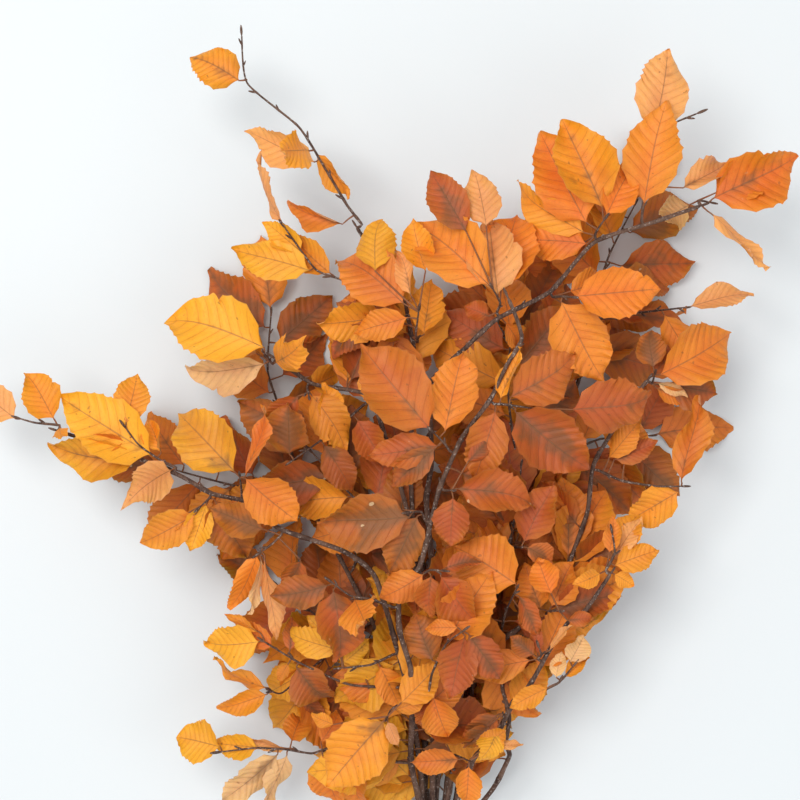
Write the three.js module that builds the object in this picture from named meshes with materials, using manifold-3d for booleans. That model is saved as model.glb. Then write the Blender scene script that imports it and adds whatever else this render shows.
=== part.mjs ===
// A bunch of dried beech branches, lying flat: cut stems in a band, and leafy side shoots on the stems.
// Millimetres. +Y runs from the cut ends to the tips, +X to the right, +Z up from the surface it lies on.
import * as THREE from 'three';
import Module from 'manifold-3d';
import { mergeVertices } from 'three/addons/utils/BufferGeometryUtils.js';

// Driving dimensions. The layout lists below are in plan, at the nominal width and length of the head.
const HEAD_WIDTH = 615;
const HEAD_LENGTH = 645;
const HEAD_DEPTH = 150;
const BARE_LENGTH = 95;
const STEM_DIAMETER = 5.2;
const STEM_TIP_DIAMETER = 2.8;
const TWIG_DIAMETER = 2.2;
const TWIG_TIP_DIAMETER = 1.2;
const LEAF_SIZE = 1;
const LEAF_WIDTH = 1;
const RIB_THICKNESS = 1.1;
const PETIOLE_WIDTH = 1.6;
const GAP = 0.3;
const BAND_WIDTH = 14;
const BAND_WALL = 1.6;
const SLOT = STEM_DIAMETER + 0.9;

const NOMINAL_WIDTH = 615;
const NOMINAL_LENGTH = 645;
const NOMINAL_DEPTH = 150;
const ACROSS = HEAD_WIDTH / NOMINAL_WIDTH;
const ALONG = HEAD_LENGTH / NOMINAL_LENGTH;
const UP = HEAD_DEPTH / NOMINAL_DEPTH;
const BUNDLE_RADIUS = 2.2 * SLOT;
const BAND_HEIGHT = BUNDLE_RADIUS + BAND_WALL;
const RISE_LENGTH = 200;
const STEM_SIDES = 7;
const TWIG_SIDES = 4;

const wasm = await Module();
wasm.setup();

// Stems: place in the bundle (column, row), height in the head, height at the tip, and the plan route.
const STEMS = [
  ['stem_front', [-0.5, 1.5], 112, 132,
    [[-19, 94], [-18, 146], [-20, 176], [-28, 204], [-28, 228], [-13, 253], [-5, 285], [2, 312], [18, 348],
      [38, 375], [50, 400], [61, 419], [57, 435], [51, 449]]],
  ['stem_front_right', [0.5, 1.5], 104, 108,
    [[28, 97], [40, 112], [50, 130], [57, 148], [68, 160], [76, 175], [82, 187], [97, 210], [109, 218],
      [128, 246]]],
  ['stem_thin_right', [1.5, 0.5], 80, 84,
    [[45, 72], [54, 92], [57, 101], [54, 112], [56, 131], [53, 145], [50, 160], [62, 190]]],
  ['stem_left', [-1.5, 0.5], 94, 98,
    [[-12, 90], [-24, 165], [-46, 242], [-70, 262], [-118, 279], [-143, 299], [-168, 305], [-193, 319],
      [-240, 338], [-283, 352]]],
  ['stem_main', [-0.5, 0.5], 84, 124,
    [[-2, 100], [-1, 160], [-2, 205], [-4, 255], [-8, 300], [-4, 330], [-6, 378], [-3, 391], [19, 412],
      [44, 435], [83, 455], [115, 491], [160, 506], [192, 517]]],
  ['stem_right', [0.5, 0.5], 74, 80,
    [[18, 118], [19, 150], [35, 180], [47, 191], [79, 215], [98, 246], [114, 290], [119, 327], [146, 372],
      [159, 390]]],
  ['stem_upper_left', [-0.5, -0.5], 64, 74,
    [[4, 110], [2, 170], [-6, 230], [-22, 290], [-38, 345], [-53, 379], [-93, 387], [-122, 406]]],
  ['stem_top_left', [-1.5, -0.5], 56, 98,
    [[-8, 100], [-10, 160], [-16, 250], [-20, 330], [-16, 400], [-20, 428], [-25, 450], [-46, 482],
      [-60, 504]]],
  ['stem_thin_middle', [1.5, -0.5], 48, 52,
    [[20, 80], [28, 128], [28, 152], [40, 200], [56, 260], [66, 330]]],
  ['stem_back_right', [0.5, -0.5], 34, 26,
    [[12, 90], [22, 160], [48, 240], [84, 320], [112, 390], [126, 440]]],
  ['stem_back_left', [-0.5, -1.5], 24, 20,
    [[-10, 90], [-30, 160], [-64, 230], [-100, 300], [-120, 350]]],
];

// Side shoots: parent stem, height at the tip, plan route of the twig, and its leaves. A leaf is
// [base x, base y, tip x, tip y, width / length, roll in degrees].
const SPRAYS = [
  ['spray_top_left', 'stem_top_left', 108,
    [[-61, 508], [-67, 520], [-82, 545], [-103, 578], [-141, 610], [-145, 645]],
    [[-147, 612, -181, 634, 0.78, 0], [-90, 553, -146, 577, 0.44, 12], [-100, 556, -142, 541, 0.65, 0],
      [-92, 562, -62, 524, 0.42, -30], [-71, 506, -115, 521, 0.34, 40]]],
  ['spray_left_upper', 'stem_top_left', 92,
    [[-27, 437], [-40, 440], [-58, 455], [-71, 465], [-91, 473], [-114, 504]],
    [[-94, 473, -152, 492, 0.5, 0], [-76, 469, -112, 498, 0.55, 10], [-116, 507, -145, 555, 0.3, 50],
      [-100, 482, -129, 508, 0.5, 0]]],
  ['spray_crown_left', 'stem_top_left', 116,
    [[-22, 418], [-16, 424], [-14, 440]],
    [[-25, 446, -72, 491, 0.66, 0], [-46, 470, -48, 520, 0.7, 0], [-10, 424, -4, 468, 0.6, 8],
      [-20, 452, -27, 493, 0.42, 30], [-9, 470, -23, 514, 0.6, 0], [-22, 436, -64, 424, 0.55, 0]]],
  ['spray_crown_middle', 'stem_main', 130,
    [[45, 438], [46, 446], [40, 456]],
    [[44, 448, 37, 508, 0.7, 0], [38, 455, -15, 509, 0.62, 0], [18, 503, -13, 556, 0.55, 8],
      [35, 503, 29, 552, 0.66, -8], [57, 441, 64, 503, 0.72, 0], [38, 437, 20, 446, 0.8, 0],
      [38, 428, 60, 404, 0.66, 0]]],
  ['spray_crown_right', 'stem_main', 128,
    [[116, 495], [117, 500], [121, 506]],
    [[109, 505, 71, 571, 0.6, 0], [120, 515, 93, 581, 0.62, 0], [123, 505, 148, 556, 0.52, -14],
      [108, 498, 53, 531, 0.42, 20], [110, 490, 50, 500, 0.58, 0], [105, 477, 74, 460, 0.7, 0]]],
  ['spray_crown_tall', 'stem_main', 122,
    [[150, 506], [152, 530], [155, 560], [167, 575], [190, 585]],
    [[158, 572, 174, 632, 0.64, 0], [160, 508, 170, 583, 0.56, 0], [180, 531, 217, 551, 0.5, 30]]],
  ['spray_crown_end', 'stem_main', 122,
    [[195, 518], [199, 520]],
    [[200, 521, 263, 552, 0.63, 0], [174, 502, 217, 462, 0.36, 40], [157, 501, 103, 478, 0.52, 0],
      [150, 462, 197, 483, 0.72, 0]]],
  ['spray_right_middle', 'stem_main', 130,
    [[85, 453], [91, 451], [97, 450]],
    [[96, 451, 160, 457, 0.6, 0], [91, 449, 122, 388, 0.64, 0], [62, 428, 91, 437, 0.8, 0],
      [63, 426, 86, 414, 0.4, 20]]],
  ['spray_right_reach', 'stem_back_right', 96,
    [[128, 442], [157, 442], [185, 444]],
    [[189, 445, 237, 459, 0.42, 25], [150, 438, 206, 432, 0.3, 30], [124, 427, 178, 428, 0.36, 20],
      [170, 444, 196, 400, 0.5, 0]]],
  ['spray_right_end', 'stem_right', 92,
    [[160, 391], [163, 394]],
    [[166, 394, 231, 423, 0.62, 0], [157, 394, 153, 423, 0.85, 0], [164, 388, 188, 380, 0.4, 20],
      [154, 362, 193, 357, 0.85, 0], [166, 384, 197, 372, 0.5, -20]]],
  ['spray_right_low', 'stem_right', 84,
    [[120, 322], [140, 314], [165, 310], [184, 310]],
    [[184, 313, 196, 378, 0.4, 30], [182, 308, 143, 284, 0.66, 0], [131, 281, 137, 322, 0.84, 0],
      [134, 330, 168, 342, 0.5, 20], [130, 331, 154, 362, 0.5, 20]]],
  ['spray_rust_upper', 'stem_front', 124,
    [[40, 373], [47, 372], [54, 371], [69, 369]],
    [[57, 370, 108, 322, 0.64, 0], [98, 368, 163, 373, 0.62, 0], [53, 377, 104, 404, 0.66, 0],
      [44, 370, 59, 408, 0.35, 30], [42, 367, 28, 315, 0.58, 0]]],
  ['spray_rust_left', 'stem_front', 136,
    [[8, 338], [5, 343], [-3, 351]],
    [[-4, 352, -57, 412, 0.62, 0], [2, 343, -50, 335, 0.5, 0], [5, 352, 16, 412, 0.6, 0],
      [-2, 340, -42, 308, 0.5, 0]]],
  ['spray_brown_left', 'stem_front', 126,
    [[-8, 286], [-12, 293], [-19, 293]],
    [[-20, 291, -88, 285, 0.62, 0], [-12, 291, -35, 247, 0.62, 0], [-4, 306, -43, 310, 0.58, 0]]],
  ['spray_rust_right', 'stem_front', 128,
    [[4, 309], [10, 309]],
    [[13, 310, 72, 306, 0.54, 0], [11, 304, 7, 262, 0.76, 0], [22, 330, 44, 352, 0.5, 0]]],
  ['spray_middle', 'stem_front', 122,
    [[-14, 247], [-6, 250], [2, 250]],
    [[2, 249, 26, 213, 0.7, 0], [-8, 250, -38, 229, 0.7, 0], [-5, 246, -9, 210, 0.62, 0],
      [4, 251, 34, 262, 0.5, 20]]],
  ['spray_round', 'stem_right', 112,
    [[50, 196], [52, 218], [58, 235]],
    [[58, 236, 14, 267, 0.88, 0], [60, 230, 76, 200, 0.5, 20], [46, 231, 60, 212, 0.6, 0]]],
  ['spray_rust_centre', 'stem_thin_middle', 108,
    [[58, 262], [62, 266]],
    [[63, 268, 82, 312, 0.64, 0], [43, 267, 53, 298, 0.62, 0], [64, 266, 90, 252, 0.7, 15],
      [62, 262, 78, 250, 0.5, -30]]],
  ['spray_right_lobe', 'stem_right', 110,
    [[81, 214], [84, 217], [90, 219]],
    [[78, 218, 64, 251, 0.76, 0], [82, 218, 98, 252, 0.76, 0], [112, 222, 100, 248, 0.8, 0],
      [96, 212, 119, 214, 0.62, 0]]],
  ['spray_right_fan', 'stem_front_right', 112,
    [[130, 248], [131, 262], [129, 276]],
    [[128, 254, 161, 266, 0.62, 0], [131, 246, 147, 237, 0.7, 0], [114, 251, 139, 289, 0.42, 20],
      [124, 243, 99, 233, 0.62, 0], [118, 192, 141, 230, 0.6, 0], [125, 214, 131, 245, 0.5, 15]]],
  ['spray_right_tan', 'stem_front_right', 98,
    [[67, 154], [80, 158], [91, 164], [101, 176]],
    [[100, 178, 110, 198, 0.85, 0], [91, 166, 94, 186, 0.6, 20], [86, 170, 56, 157, 0.5, 0],
      [93, 165, 114, 183, 0.5, 20]]],
  ['spray_smooth', 'stem_front_right', 112,
    [[79, 180], [77, 186], [75, 192]],
    [[76, 177, 28, 169, 0.5, 0], [77, 181, 75, 209, 0.42, 20], [74, 184, 57, 199, 0.7, 0],
      [83, 190, 99, 212, 0.3, 40]]],
  ['spray_front', 'stem_front', 126,
    [[-15, 145], [-7, 154], [-4, 172], [6, 195], [18, 206]],
    [[19, 203, 6, 157, 0.64, 0], [22, 204, 47, 170, 0.62, 0], [16, 207, -9, 207, 0.5, 0],
      [-3, 182, -18, 216, 0.8, 0], [-3, 153, 7, 119, 0.78, 0], [-9, 151, -14, 128, 0.7, 0]]],
  ['spray_left_far', 'stem_left', 96,
    [[-286, 353], [-300, 358], [-311, 361]],
    [[-312, 361, -350, 390, 0.6, 0], [-284, 351, -303, 387, 0.72, 0], [-276, 352, -262, 330, 0.5, 10]]],
  ['spray_left_gold', 'stem_left', 106,
    [[-196, 322], [-206, 330], [-222, 342], [-231, 354]],
    [[-209, 332, -278, 374, 0.56, 0], [-222, 330, -303, 331, 0.46, 0], [-196, 318, -242, 294, 0.56, 0],
      [-231, 357, -221, 401, 0.7, 0], [-206, 336, -216, 367, 0.5, 30], [-232, 344, -268, 347, 0.46, 10]]],
  ['spray_left_fork', 'stem_left', 112,
    [[-146, 303], [-146, 318]],
    [[-150, 322, -197, 371, 0.64, 0], [-142, 317, -106, 281, 0.72, 0], [-142, 319, -122, 378, 0.34, 40]]],
  ['spray_left_under', 'stem_left', 100,
    [[-170, 302], [-176, 296]],
    [[-168, 301, -146, 250, 0.64, 0], [-173, 303, -185, 268, 0.6, 0], [-180, 290, -221, 266, 0.6, 0],
      [-158, 262, -182, 249, 0.6, 0]]],
  ['spray_left_hang', 'stem_left', 98,
    [[-116, 276], [-124, 267], [-131, 262]],
    [[-134, 260, -149, 214, 0.46, 20], [-131, 256, -137, 208, 0.32, 50], [-129, 256, -120, 184, 0.28, -50],
      [-80, 268, -121, 283, 0.6, 0], [-102, 255, -112, 230, 0.7, 0]]],
  ['spray_gold_upper', 'stem_upper_left', 100,
    [[-125, 408], [-129, 410]],
    [[-129, 411, -200, 445, 0.66, 0], [-130, 402, -198, 390, 0.42, 20], [-117, 407, -68, 424, 0.56, 0],
      [-107, 387, -134, 404, 0.5, 20]]],
  ['spray_amber_left', 'stem_upper_left', 92,
    [[-99, 384], [-96, 378]],
    [[-97, 382, -65, 344, 0.62, 0], [-96, 391, -58, 404, 0.6, 0], [-104, 378, -128, 352, 0.6, 0]]],
  ['spray_brown_upper', 'stem_upper_left', 84,
    [[-50, 374], [-80, 350], [-108, 330]],
    [[-111, 334, -110, 374, 0.88, 0], [-60, 360, -40, 326, 0.62, 0], [-88, 345, -64, 310, 0.6, 0],
      [-75, 350, -82, 382, 0.6, 0]]],
  ['spray_low_brown', 'stem_front', 108,
    [[-31, 222], [-50, 228], [-64, 230], [-77, 239]],
    [[-77, 239, -119, 226, 0.6, 0], [-76, 236, -67, 182, 0.66, 0], [-63, 224, -38, 186, 0.74, 0]]],
  ['spray_low_gold', 'stem_left', 90,
    [[-30, 184], [-50, 176], [-71, 174]],
    [[-73, 187, -116, 200, 0.52, 0], [-70, 175, -48, 190, 0.6, 0], [-46, 182, -30, 148, 0.56, 0],
      [-72, 190, -104, 214, 0.5, 0]]],
  ['spray_low_dark', 'stem_left', 84,
    [[-24, 158], [-66, 160], [-104, 177], [-130, 193]],
    [[-105, 175, -84, 143, 0.88, 0], [-112, 176, -121, 163, 0.6, 0], [-118, 190, -149, 207, 0.5, 15],
      [-112, 184, -110, 210, 0.5, 0], [-133, 193, -175, 187, 0.78, 0], [-134, 200, -164, 217, 0.3, 40]]],
  ['spray_low_fork', 'stem_front', 104,
    [[-21, 150], [-34, 144], [-37, 140]],
    [[-40, 141, -83, 92, 0.7, 0], [-36, 144, -12, 152, 0.6, 0], [-37, 138, -27, 117, 0.5, 0],
      [-73, 134, -38, 168, 0.66, 0], [-77, 134, -97, 142, 0.6, 0]]],
  ['spray_low_left', 'stem_front', 84,
    [[-23, 96], [-43, 99], [-80, 109], [-95, 106], [-115, 110], [-137, 112], [-162, 110]],
    [[-163, 113, -197, 121, 0.95, 0], [-120, 109, -161, 68, 0.46, 20], [-113, 107, -130, 64, 0.42, 30],
      [-66, 100, -62, 62, 0.6, 0], [-88, 114, -72, 136, 0.66, 0], [-104, 116, -138, 124, 0.3, 40],
      [-110, 116, -98, 158, 0.5, 0], [-128, 118, -163, 122, 0.56, 0]]],
  ['spray_low_pair', 'stem_back_left', 70,
    [[-50, 200], [-90, 172], [-118, 150], [-126, 154]],
    [[-128, 155, -172, 168, 0.36, 30], [-128, 152, -173, 138, 0.44, 0], [-112, 158, -92, 130, 0.5, 0]]],
  ['spray_foot', 'stem_main', 88,
    [[1, 100], [14, 104], [24, 104]],
    [[21, 104, -16, 102, 0.56, 0], [24, 102, 21, 72, 0.7, 0], [28, 94, 50, 113, 0.72, 0],
      [44, 115, 69, 117, 0.36, 20]]],
  ['spray_foot_right', 'stem_thin_right', 78,
    [[57, 134], [50, 138]],
    [[47, 137, 20, 114, 0.56, 0], [46, 152, 36, 128, 0.8, 0], [56, 133, 79, 131, 0.95, 0],
      [30, 172, 8, 152, 0.6, 0]]],
];

// Shoots deep in the bunch, whose leaves follow a rule: parent stem, plan start, heading in degrees,
// length, height at the tip, number of leaves. Those that end low lie on the surface.
const DEEP_SPRAYS = [
  ['spray_deep_1', 'stem_back_left', -38, 178, 150, 100, 8, 8],
  ['spray_deep_2', 'stem_back_left', -100, 305, 172, 110, 9, 8],
  ['spray_deep_3', 'stem_back_left', -122, 352, 95, 90, 12, 7],
  ['spray_deep_4', 'stem_back_left', -68, 240, 60, 120, 10, 8],
  ['spray_deep_5', 'stem_back_right', 127, 444, 70, 90, 10, 7],
  ['spray_deep_6', 'stem_back_right', 92, 330, 12, 80, 8, 7],
  ['spray_deep_7', 'stem_back_right', 104, 372, 125, 110, 14, 8],
  ['spray_deep_8', 'stem_thin_middle', 66, 334, 96, 90, 66, 7],
  ['spray_deep_9', 'stem_top_left', -18, 270, 140, 100, 60, 8],
];

// The same numbers on every run: the next one from 0 to 1.
let seed = 7;
function chance() {
  seed = (seed * 16807) % 2147483647;
  return seed / 2147483647;
}

const planPoint = ([x, y]) => new THREE.Vector2(x * ACROSS, y * ALONG);
const radians = THREE.MathUtils.degToRad;

// A closed geometry as a solid, for joining.
function solid(geometry) {
  const bare = geometry.clone();
  bare.deleteAttribute('normal');
  bare.deleteAttribute('uv');
  const merged = mergeVertices(bare, 1e-4);
  return new wasm.Manifold(new wasm.Mesh({
    numProp: 3,
    vertProperties: merged.attributes.position.array,
    triVerts: new Uint32Array(merged.index.array),
  }));
}

function geometryOf(made) {
  const mesh = made.getMesh();
  const geometry = new THREE.BufferGeometry();
  geometry.setAttribute('position', new THREE.BufferAttribute(mesh.vertProperties, 3));
  geometry.setIndex(new THREE.BufferAttribute(mesh.triVerts, 1));
  return geometry.toNonIndexed();
}

// Closed surface through rings of equal point counts; a ring of one point closes an end.
function skin(rings) {
  const points = rings.flat();
  const faces = [];
  let first = 0;
  for (let r = 0; r + 1 < rings.length; r += 1) {
    const here = rings[r].length;
    const next = rings[r + 1].length;
    const second = first + here;
    const sides = Math.max(here, next);
    for (let i = 0; i < sides; i += 1) {
      const j = (i + 1) % sides;
      if (here > 1) faces.push(first + i, first + j, second + (next > 1 ? j : 0));
      if (next > 1) faces.push(first + (here > 1 ? i : 0), second + j, second + i);
    }
    first = second;
  }
  const geometry = new THREE.BufferGeometry().setFromPoints(points);
  geometry.setIndex(faces);
  return geometry.toNonIndexed();
}

// A tapered round rod through points, with flat ends.
function rod(points, startDiameter, endDiameter, sides) {
  const rings = [[points[0]]];
  const up = new THREE.Vector3(0, 0, 1);
  points.forEach((point, index) => {
    const before = points[Math.max(index - 1, 0)];
    const after = points[Math.min(index + 1, points.length - 1)];
    const ahead = after.clone().sub(before).normalize();
    const side = ahead.clone().cross(up).normalize();
    const top = ahead.clone().cross(side);
    const part = index / (points.length - 1);
    const radius = THREE.MathUtils.lerp(startDiameter, endDiameter, part) / 2;
    rings.push(Array.from({ length: sides }, (_, i) => {
      const angle = (2 * Math.PI * i) / sides;
      return point.clone()
        .addScaledVector(side, radius * Math.cos(angle))
        .addScaledVector(top, radius * Math.sin(angle));
    }));
  });
  rings.push([points[points.length - 1]]);
  return skin(rings);
}

// Stem heights: out of the band, up over the rise, then evenly to the tip; lift shifts it in the head.
function stemPath([, [column, row], headHeight, tipHeight, route], lift) {
  const plan = [[0, -BARE_LENGTH / ALONG], [0, -20], [0, 20], ...route].map(planPoint);
  plan.slice(0, 3).forEach((point) => {
    point.x = column * SLOT;
  });
  const slotHeight = BAND_HEIGHT + row * SLOT;
  let run = 0;
  const runs = plan.map((point, index) => {
    if (index > 2) run += point.distanceTo(plan[index - 1]);
    return run;
  });
  return plan.map((point, index) => {
    const rise = THREE.MathUtils.smoothstep(runs[index], 0, RISE_LENGTH);
    const reach = Math.max(0, runs[index] - RISE_LENGTH) / Math.max(1, run - RISE_LENGTH);
    const head = THREE.MathUtils.lerp(headHeight, tipHeight, reach) * UP + lift;
    return new THREE.Vector3(point.x, point.y, THREE.MathUtils.lerp(slotHeight, head, rise));
  });
}

// The nearest point of a path to a plan point, with the height and the plan heading there.
function nearest(path, x, y) {
  let best = null;
  for (let i = 0; i + 1 < path.length; i += 1) {
    const a = path[i];
    const b = path[i + 1];
    const along = (b.x - a.x) ** 2 + (b.y - a.y) ** 2;
    const part = ((x - a.x) * (b.x - a.x) + (y - a.y) * (b.y - a.y)) / (along || 1);
    const point = a.clone().lerp(b, THREE.MathUtils.clamp(part, 0, 1));
    const distance = Math.hypot(point.x - x, point.y - y);
    const heading = new THREE.Vector2(b.x - a.x, b.y - a.y).normalize();
    if (!best || distance < best.distance) best = { point, distance, heading };
  }
  return best;
}

// Half width of a beech leaf as a share of its greatest, from the base (0) to the tip (1).
const halfWidth = (s) => Math.sin(Math.PI * s ** 0.92) ** 0.7;
const STATIONS = [0.25, 0.64];
const SHORT_STALK = 4;
const TURNED_STALK = 14;
const LONG_STALK = 46;
const STALK_LEAN = 0.4;
const FOLD = 0.1;
const DROOP = 0.1;

// A leaf's own axes: along it, across it and up from its face.
function leafFrame(leaf, pitch, roll) {
  const [bx, by, tx, ty] = leaf;
  const base = planPoint([bx, by]);
  const tip = planPoint([tx, ty]);
  const heading = Math.atan2(tip.y - base.y, tip.x - base.x);
  const length = Math.hypot(tx - bx, ty - by) * LEAF_SIZE;
  const flat = new THREE.Vector3(Math.cos(heading), Math.sin(heading), 0);
  const up = new THREE.Vector3(0, 0, 1);
  const along = flat.clone().multiplyScalar(Math.cos(pitch)).addScaledVector(up, Math.sin(pitch));
  const level = up.clone().multiplyScalar(Math.cos(pitch)).addScaledVector(flat, -Math.sin(pitch));
  const side = level.clone().cross(along);
  const face = level.clone().multiplyScalar(Math.cos(roll)).addScaledVector(side, Math.sin(roll));
  const across = face.clone().cross(along);
  return { base, length, along, across, face };
}

// A leaf: a thin blade, thickest at its rib and sharp at its edges, on a stalk from the twig. The blade
// droops towards its tip and its halves rise from the rib. extra swells it for testing the room it has.
function leafGeometry(leaf, twig, pitch, roll, size, extra) {
  const { base, length, along, across, face } = leafFrame(leaf, pitch, roll);
  const grown = length * size;
  const root = nearest(twig, base.x, base.y).point;
  const stalk = new THREE.Vector3(base.x - root.x, base.y - root.y, 0);
  let reach = THREE.MathUtils.clamp(stalk.length(), SHORT_STALK, LONG_STALK);
  stalk.normalize();
  if (stalk.dot(along) < STALK_LEAN) {
    stalk.copy(along);
    reach = Math.min(reach, TURNED_STALK);
  }
  const start = root.clone().addScaledVector(stalk, reach);
  const half = (grown * leaf[4] * LEAF_WIDTH) / 2;
  const thick = RIB_THICKNESS / 2 + extra;
  const ring = (s, width, rib) => {
    const mid = start.clone()
      .addScaledVector(along, grown * s)
      .addScaledVector(face, -DROOP * grown * s * s);
    const lift = FOLD * width;
    return [
      mid.clone().addScaledVector(across, -width).addScaledVector(face, lift),
      mid.clone().addScaledVector(face, -rib),
      mid.clone().addScaledVector(across, width).addScaledVector(face, lift),
      mid.clone().addScaledVector(face, rib),
    ];
  };
  const heelwards = root.clone().sub(start).normalize();
  const joint = TWIG_TIP_DIAMETER * 0.4;
  const rings = [
    [root.clone().addScaledVector(heelwards, joint)],
    [[across, -1], [face, -1], [across, 1], [face, 1]].map(([way, sign]) => (
      root.clone().addScaledVector(way, sign * joint))),
    ring(0, PETIOLE_WIDTH / 2 + extra, thick),
    ...STATIONS.map((s) => ring(s, half * halfWidth(s) + extra, thick)),
    [ring(1, 0, 0)[1]],
  ];
  return skin(rings);
}

const lowest = (geometry) => {
  geometry.computeBoundingBox();
  return geometry.boundingBox.min.z;
};

// What is already placed, with its node's name, for keeping the nodes clear of each other.
const placed = [];
function place(name, made) {
  placed.push({ name, made, box: made.boundingBox() });
}
function apart(one, two) {
  for (let i = 0; i < 3; i += 1) {
    if (one.max[i] < two.min[i] || one.min[i] > two.max[i]) return true;
  }
  return false;
}
function isClear(name, made, alsoOwn) {
  const box = made.boundingBox();
  return placed.every((other) => {
    if (other.name === name && !alsoOwn) return true;
    if (other.name === name && other.twig) return true;
    if (apart(box, other.box)) return true;
    return made.intersect(other.made).isEmpty();
  });
}

const stemPaths = {};
const LIFTS = [0, 4, -4, 8, -8, 12, -12, 17, -17, 23, -23, 30, -30];
function makeStem(stem) {
  for (const lift of LIFTS) {
    const path = stemPath(stem, lift);
    const tested = solid(rod(path, STEM_DIAMETER + 2 * GAP, STEM_TIP_DIAMETER + 2 * GAP, STEM_SIDES));
    if (path.some((point) => point.z < STEM_DIAMETER)) continue;
    if (!isClear(stem[0], tested, false)) continue;
    stemPaths[stem[0]] = path;
    place(stem[0], tested);
    return rod(path, STEM_DIAMETER, STEM_TIP_DIAMETER, STEM_SIDES);
  }
  throw new Error(`no room for ${stem[0]}`);
}

// A twig starts clear of its stem's bark and climbs or falls to its own height. bow lifts it midway.
function twigPath(parent, route, height, bow) {
  const plan = route.map(planPoint);
  const { point: join, heading } = nearest(stemPaths[parent], plan[0].x, plan[0].y);
  const off = new THREE.Vector2(plan[1].x - join.x, plan[1].y - join.y);
  const away = new THREE.Vector2(-heading.y, heading.x);
  if (off.dot(away) < 0) away.negate();
  const clear = (STEM_DIAMETER + TWIG_DIAMETER) / 2 + 2 * GAP;
  const begin = new THREE.Vector2(join.x, join.y).addScaledVector(away, clear);
  const points = [begin, ...plan.slice(1)];
  const total = points.length - 1;
  return points.map((point, index) => {
    const part = index / total;
    const z = THREE.MathUtils.lerp(join.z, height * UP, part) + bow * Math.sin((Math.PI * part) / 2);
    return new THREE.Vector3(point.x, point.y, z);
  });
}

const BOWS = [0, 5, -5, 10, -10, 15, -15, 20, -20, 26, -26, 32, -32, 40, -40];
function clearTwig(name, parent, route, height) {
  for (const bow of BOWS) {
    const path = twigPath(parent, route, height, bow);
    if (path.some((point) => point.z < TWIG_DIAMETER)) continue;
    const tested = solid(rod(path, TWIG_DIAMETER + GAP, TWIG_TIP_DIAMETER + GAP, TWIG_SIDES));
    if (!isClear(name, tested, false)) continue;
    place(name, tested);
    placed[placed.length - 1].twig = true;
    return path;
  }
  throw new Error(`no room for the twig of ${name}`);
}

// Turns that a leaf may take from its natural set, the smallest first.
const PITCHES = [0, 8, -8, 16, -16, 24, -24, 33, -33, 43, -43, 55, -55, 68, -68];
const ROLLS = [0, 14, -14, 30, -30, 50, -50];
const TURNS = PITCHES.flatMap((pitch) => ROLLS.map((roll) => [pitch, roll]));
TURNS.sort((one, two) => Math.abs(one[0]) + 0.6 * Math.abs(one[1]) - Math.abs(two[0]) - 0.6 * Math.abs(two[1]));
const SIZES = [1, 0.85, 0.7, 0.55, 0.4, 0.28];

function clearLeaf(name, leaf, twig, pitch) {
  for (const size of SIZES) {
    for (const [turn, rollTurn] of TURNS) {
      const tilt = radians(pitch + turn);
      const roll = radians(leaf[5] + rollTurn);
      const tested = leafGeometry(leaf, twig, tilt, roll, size, 0.35);
      if (lowest(tested) < 0) continue;
      const swollen = solid(tested);
      if (!isClear(name, swollen, size > 0.5)) continue;
      place(name, swollen);
      return leafGeometry(leaf, twig, tilt, roll, size, 0);
    }
  }
  return null;
}

function makeSpray([name, , , , leaves], twig) {
  let made = solid(rod(twig, TWIG_DIAMETER, TWIG_TIP_DIAMETER, TWIG_SIDES));
  leaves.forEach((leaf) => {
    const pitch = -14 + 20 * chance();
    const blade = clearLeaf(name, leaf, twig, pitch);
    if (blade) made = made.add(solid(blade));
  });
  return geometryOf(made);
}

// A deep shoot as a spray: leaves left and right in turn along a straight twig, and one at its end.
function deepSpray([name, parent, x, y, heading, length, height, count]) {
  const angle = radians(heading);
  const route = [0, 0.5, 1].map((part) => {
    const sway = part === 0.5 ? 6 : 0;
    return [
      x + part * length * Math.cos(angle) - sway * Math.sin(angle),
      y + part * length * Math.sin(angle) + sway * Math.cos(angle),
    ];
  });
  const leaves = Array.from({ length: count }, (_, index) => {
    const part = (index + 1) / count;
    const side = index === count - 1 ? 0 : (index % 2 ? 1 : -1);
    const turn = angle + side * radians(42 + 26 * chance());
    const grown = 46 + 20 * chance();
    const bx = x + part * length * Math.cos(angle) + 6 * Math.cos(turn);
    const by = y + part * length * Math.sin(angle) + 6 * Math.sin(turn);
    const roll = -16 + 32 * chance();
    return [bx, by, bx + grown * Math.cos(turn), by + grown * Math.sin(turn), 0.62, roll];
  });
  return [name, parent, height, route, leaves];
}

// The band: a ring round the bundle, from a closed profile turned about the bundle's axis.
function makeBand() {
  const inner = BUNDLE_RADIUS;
  const outer = inner + BAND_WALL;
  const half = BAND_WIDTH / 2;
  const profile = [[inner, -half], [outer, -half], [outer, half], [inner, half], [inner, -half]];
  const geometry = new THREE.LatheGeometry(profile.map(([r, y]) => new THREE.Vector2(r, y)), 28);
  geometry.translate(0, 0, BAND_HEIGHT);
  return geometry;
}

const bark = () => new THREE.MeshStandardMaterial({ color: 0x4a3531, roughness: 0.8, metalness: 0 });
const foliage = () => new THREE.MeshStandardMaterial({ color: 0xd87a1c, roughness: 0.6, metalness: 0 });
const rubber = () => new THREE.MeshStandardMaterial({ color: 0xa88b5d, roughness: 0.7, metalness: 0 });

const bunch = new THREE.Group();
function addPart(name, geometry, material) {
  const mesh = new THREE.Mesh(geometry, material);
  mesh.name = name;
  bunch.add(mesh);
}

STEMS.forEach((stem) => addPart(stem[0], makeStem(stem), bark()));
const band = makeBand();
place('band', solid(band));
addPart('band', band, rubber());
const sprays = [...SPRAYS, ...DEEP_SPRAYS.map(deepSpray)];
const twigs = sprays.map(([name, parent, height, route]) => clearTwig(name, parent, route, height));
sprays.forEach((spray, index) => addPart(spray[0], makeSpray(spray, twigs[index]), foliage()));

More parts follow.
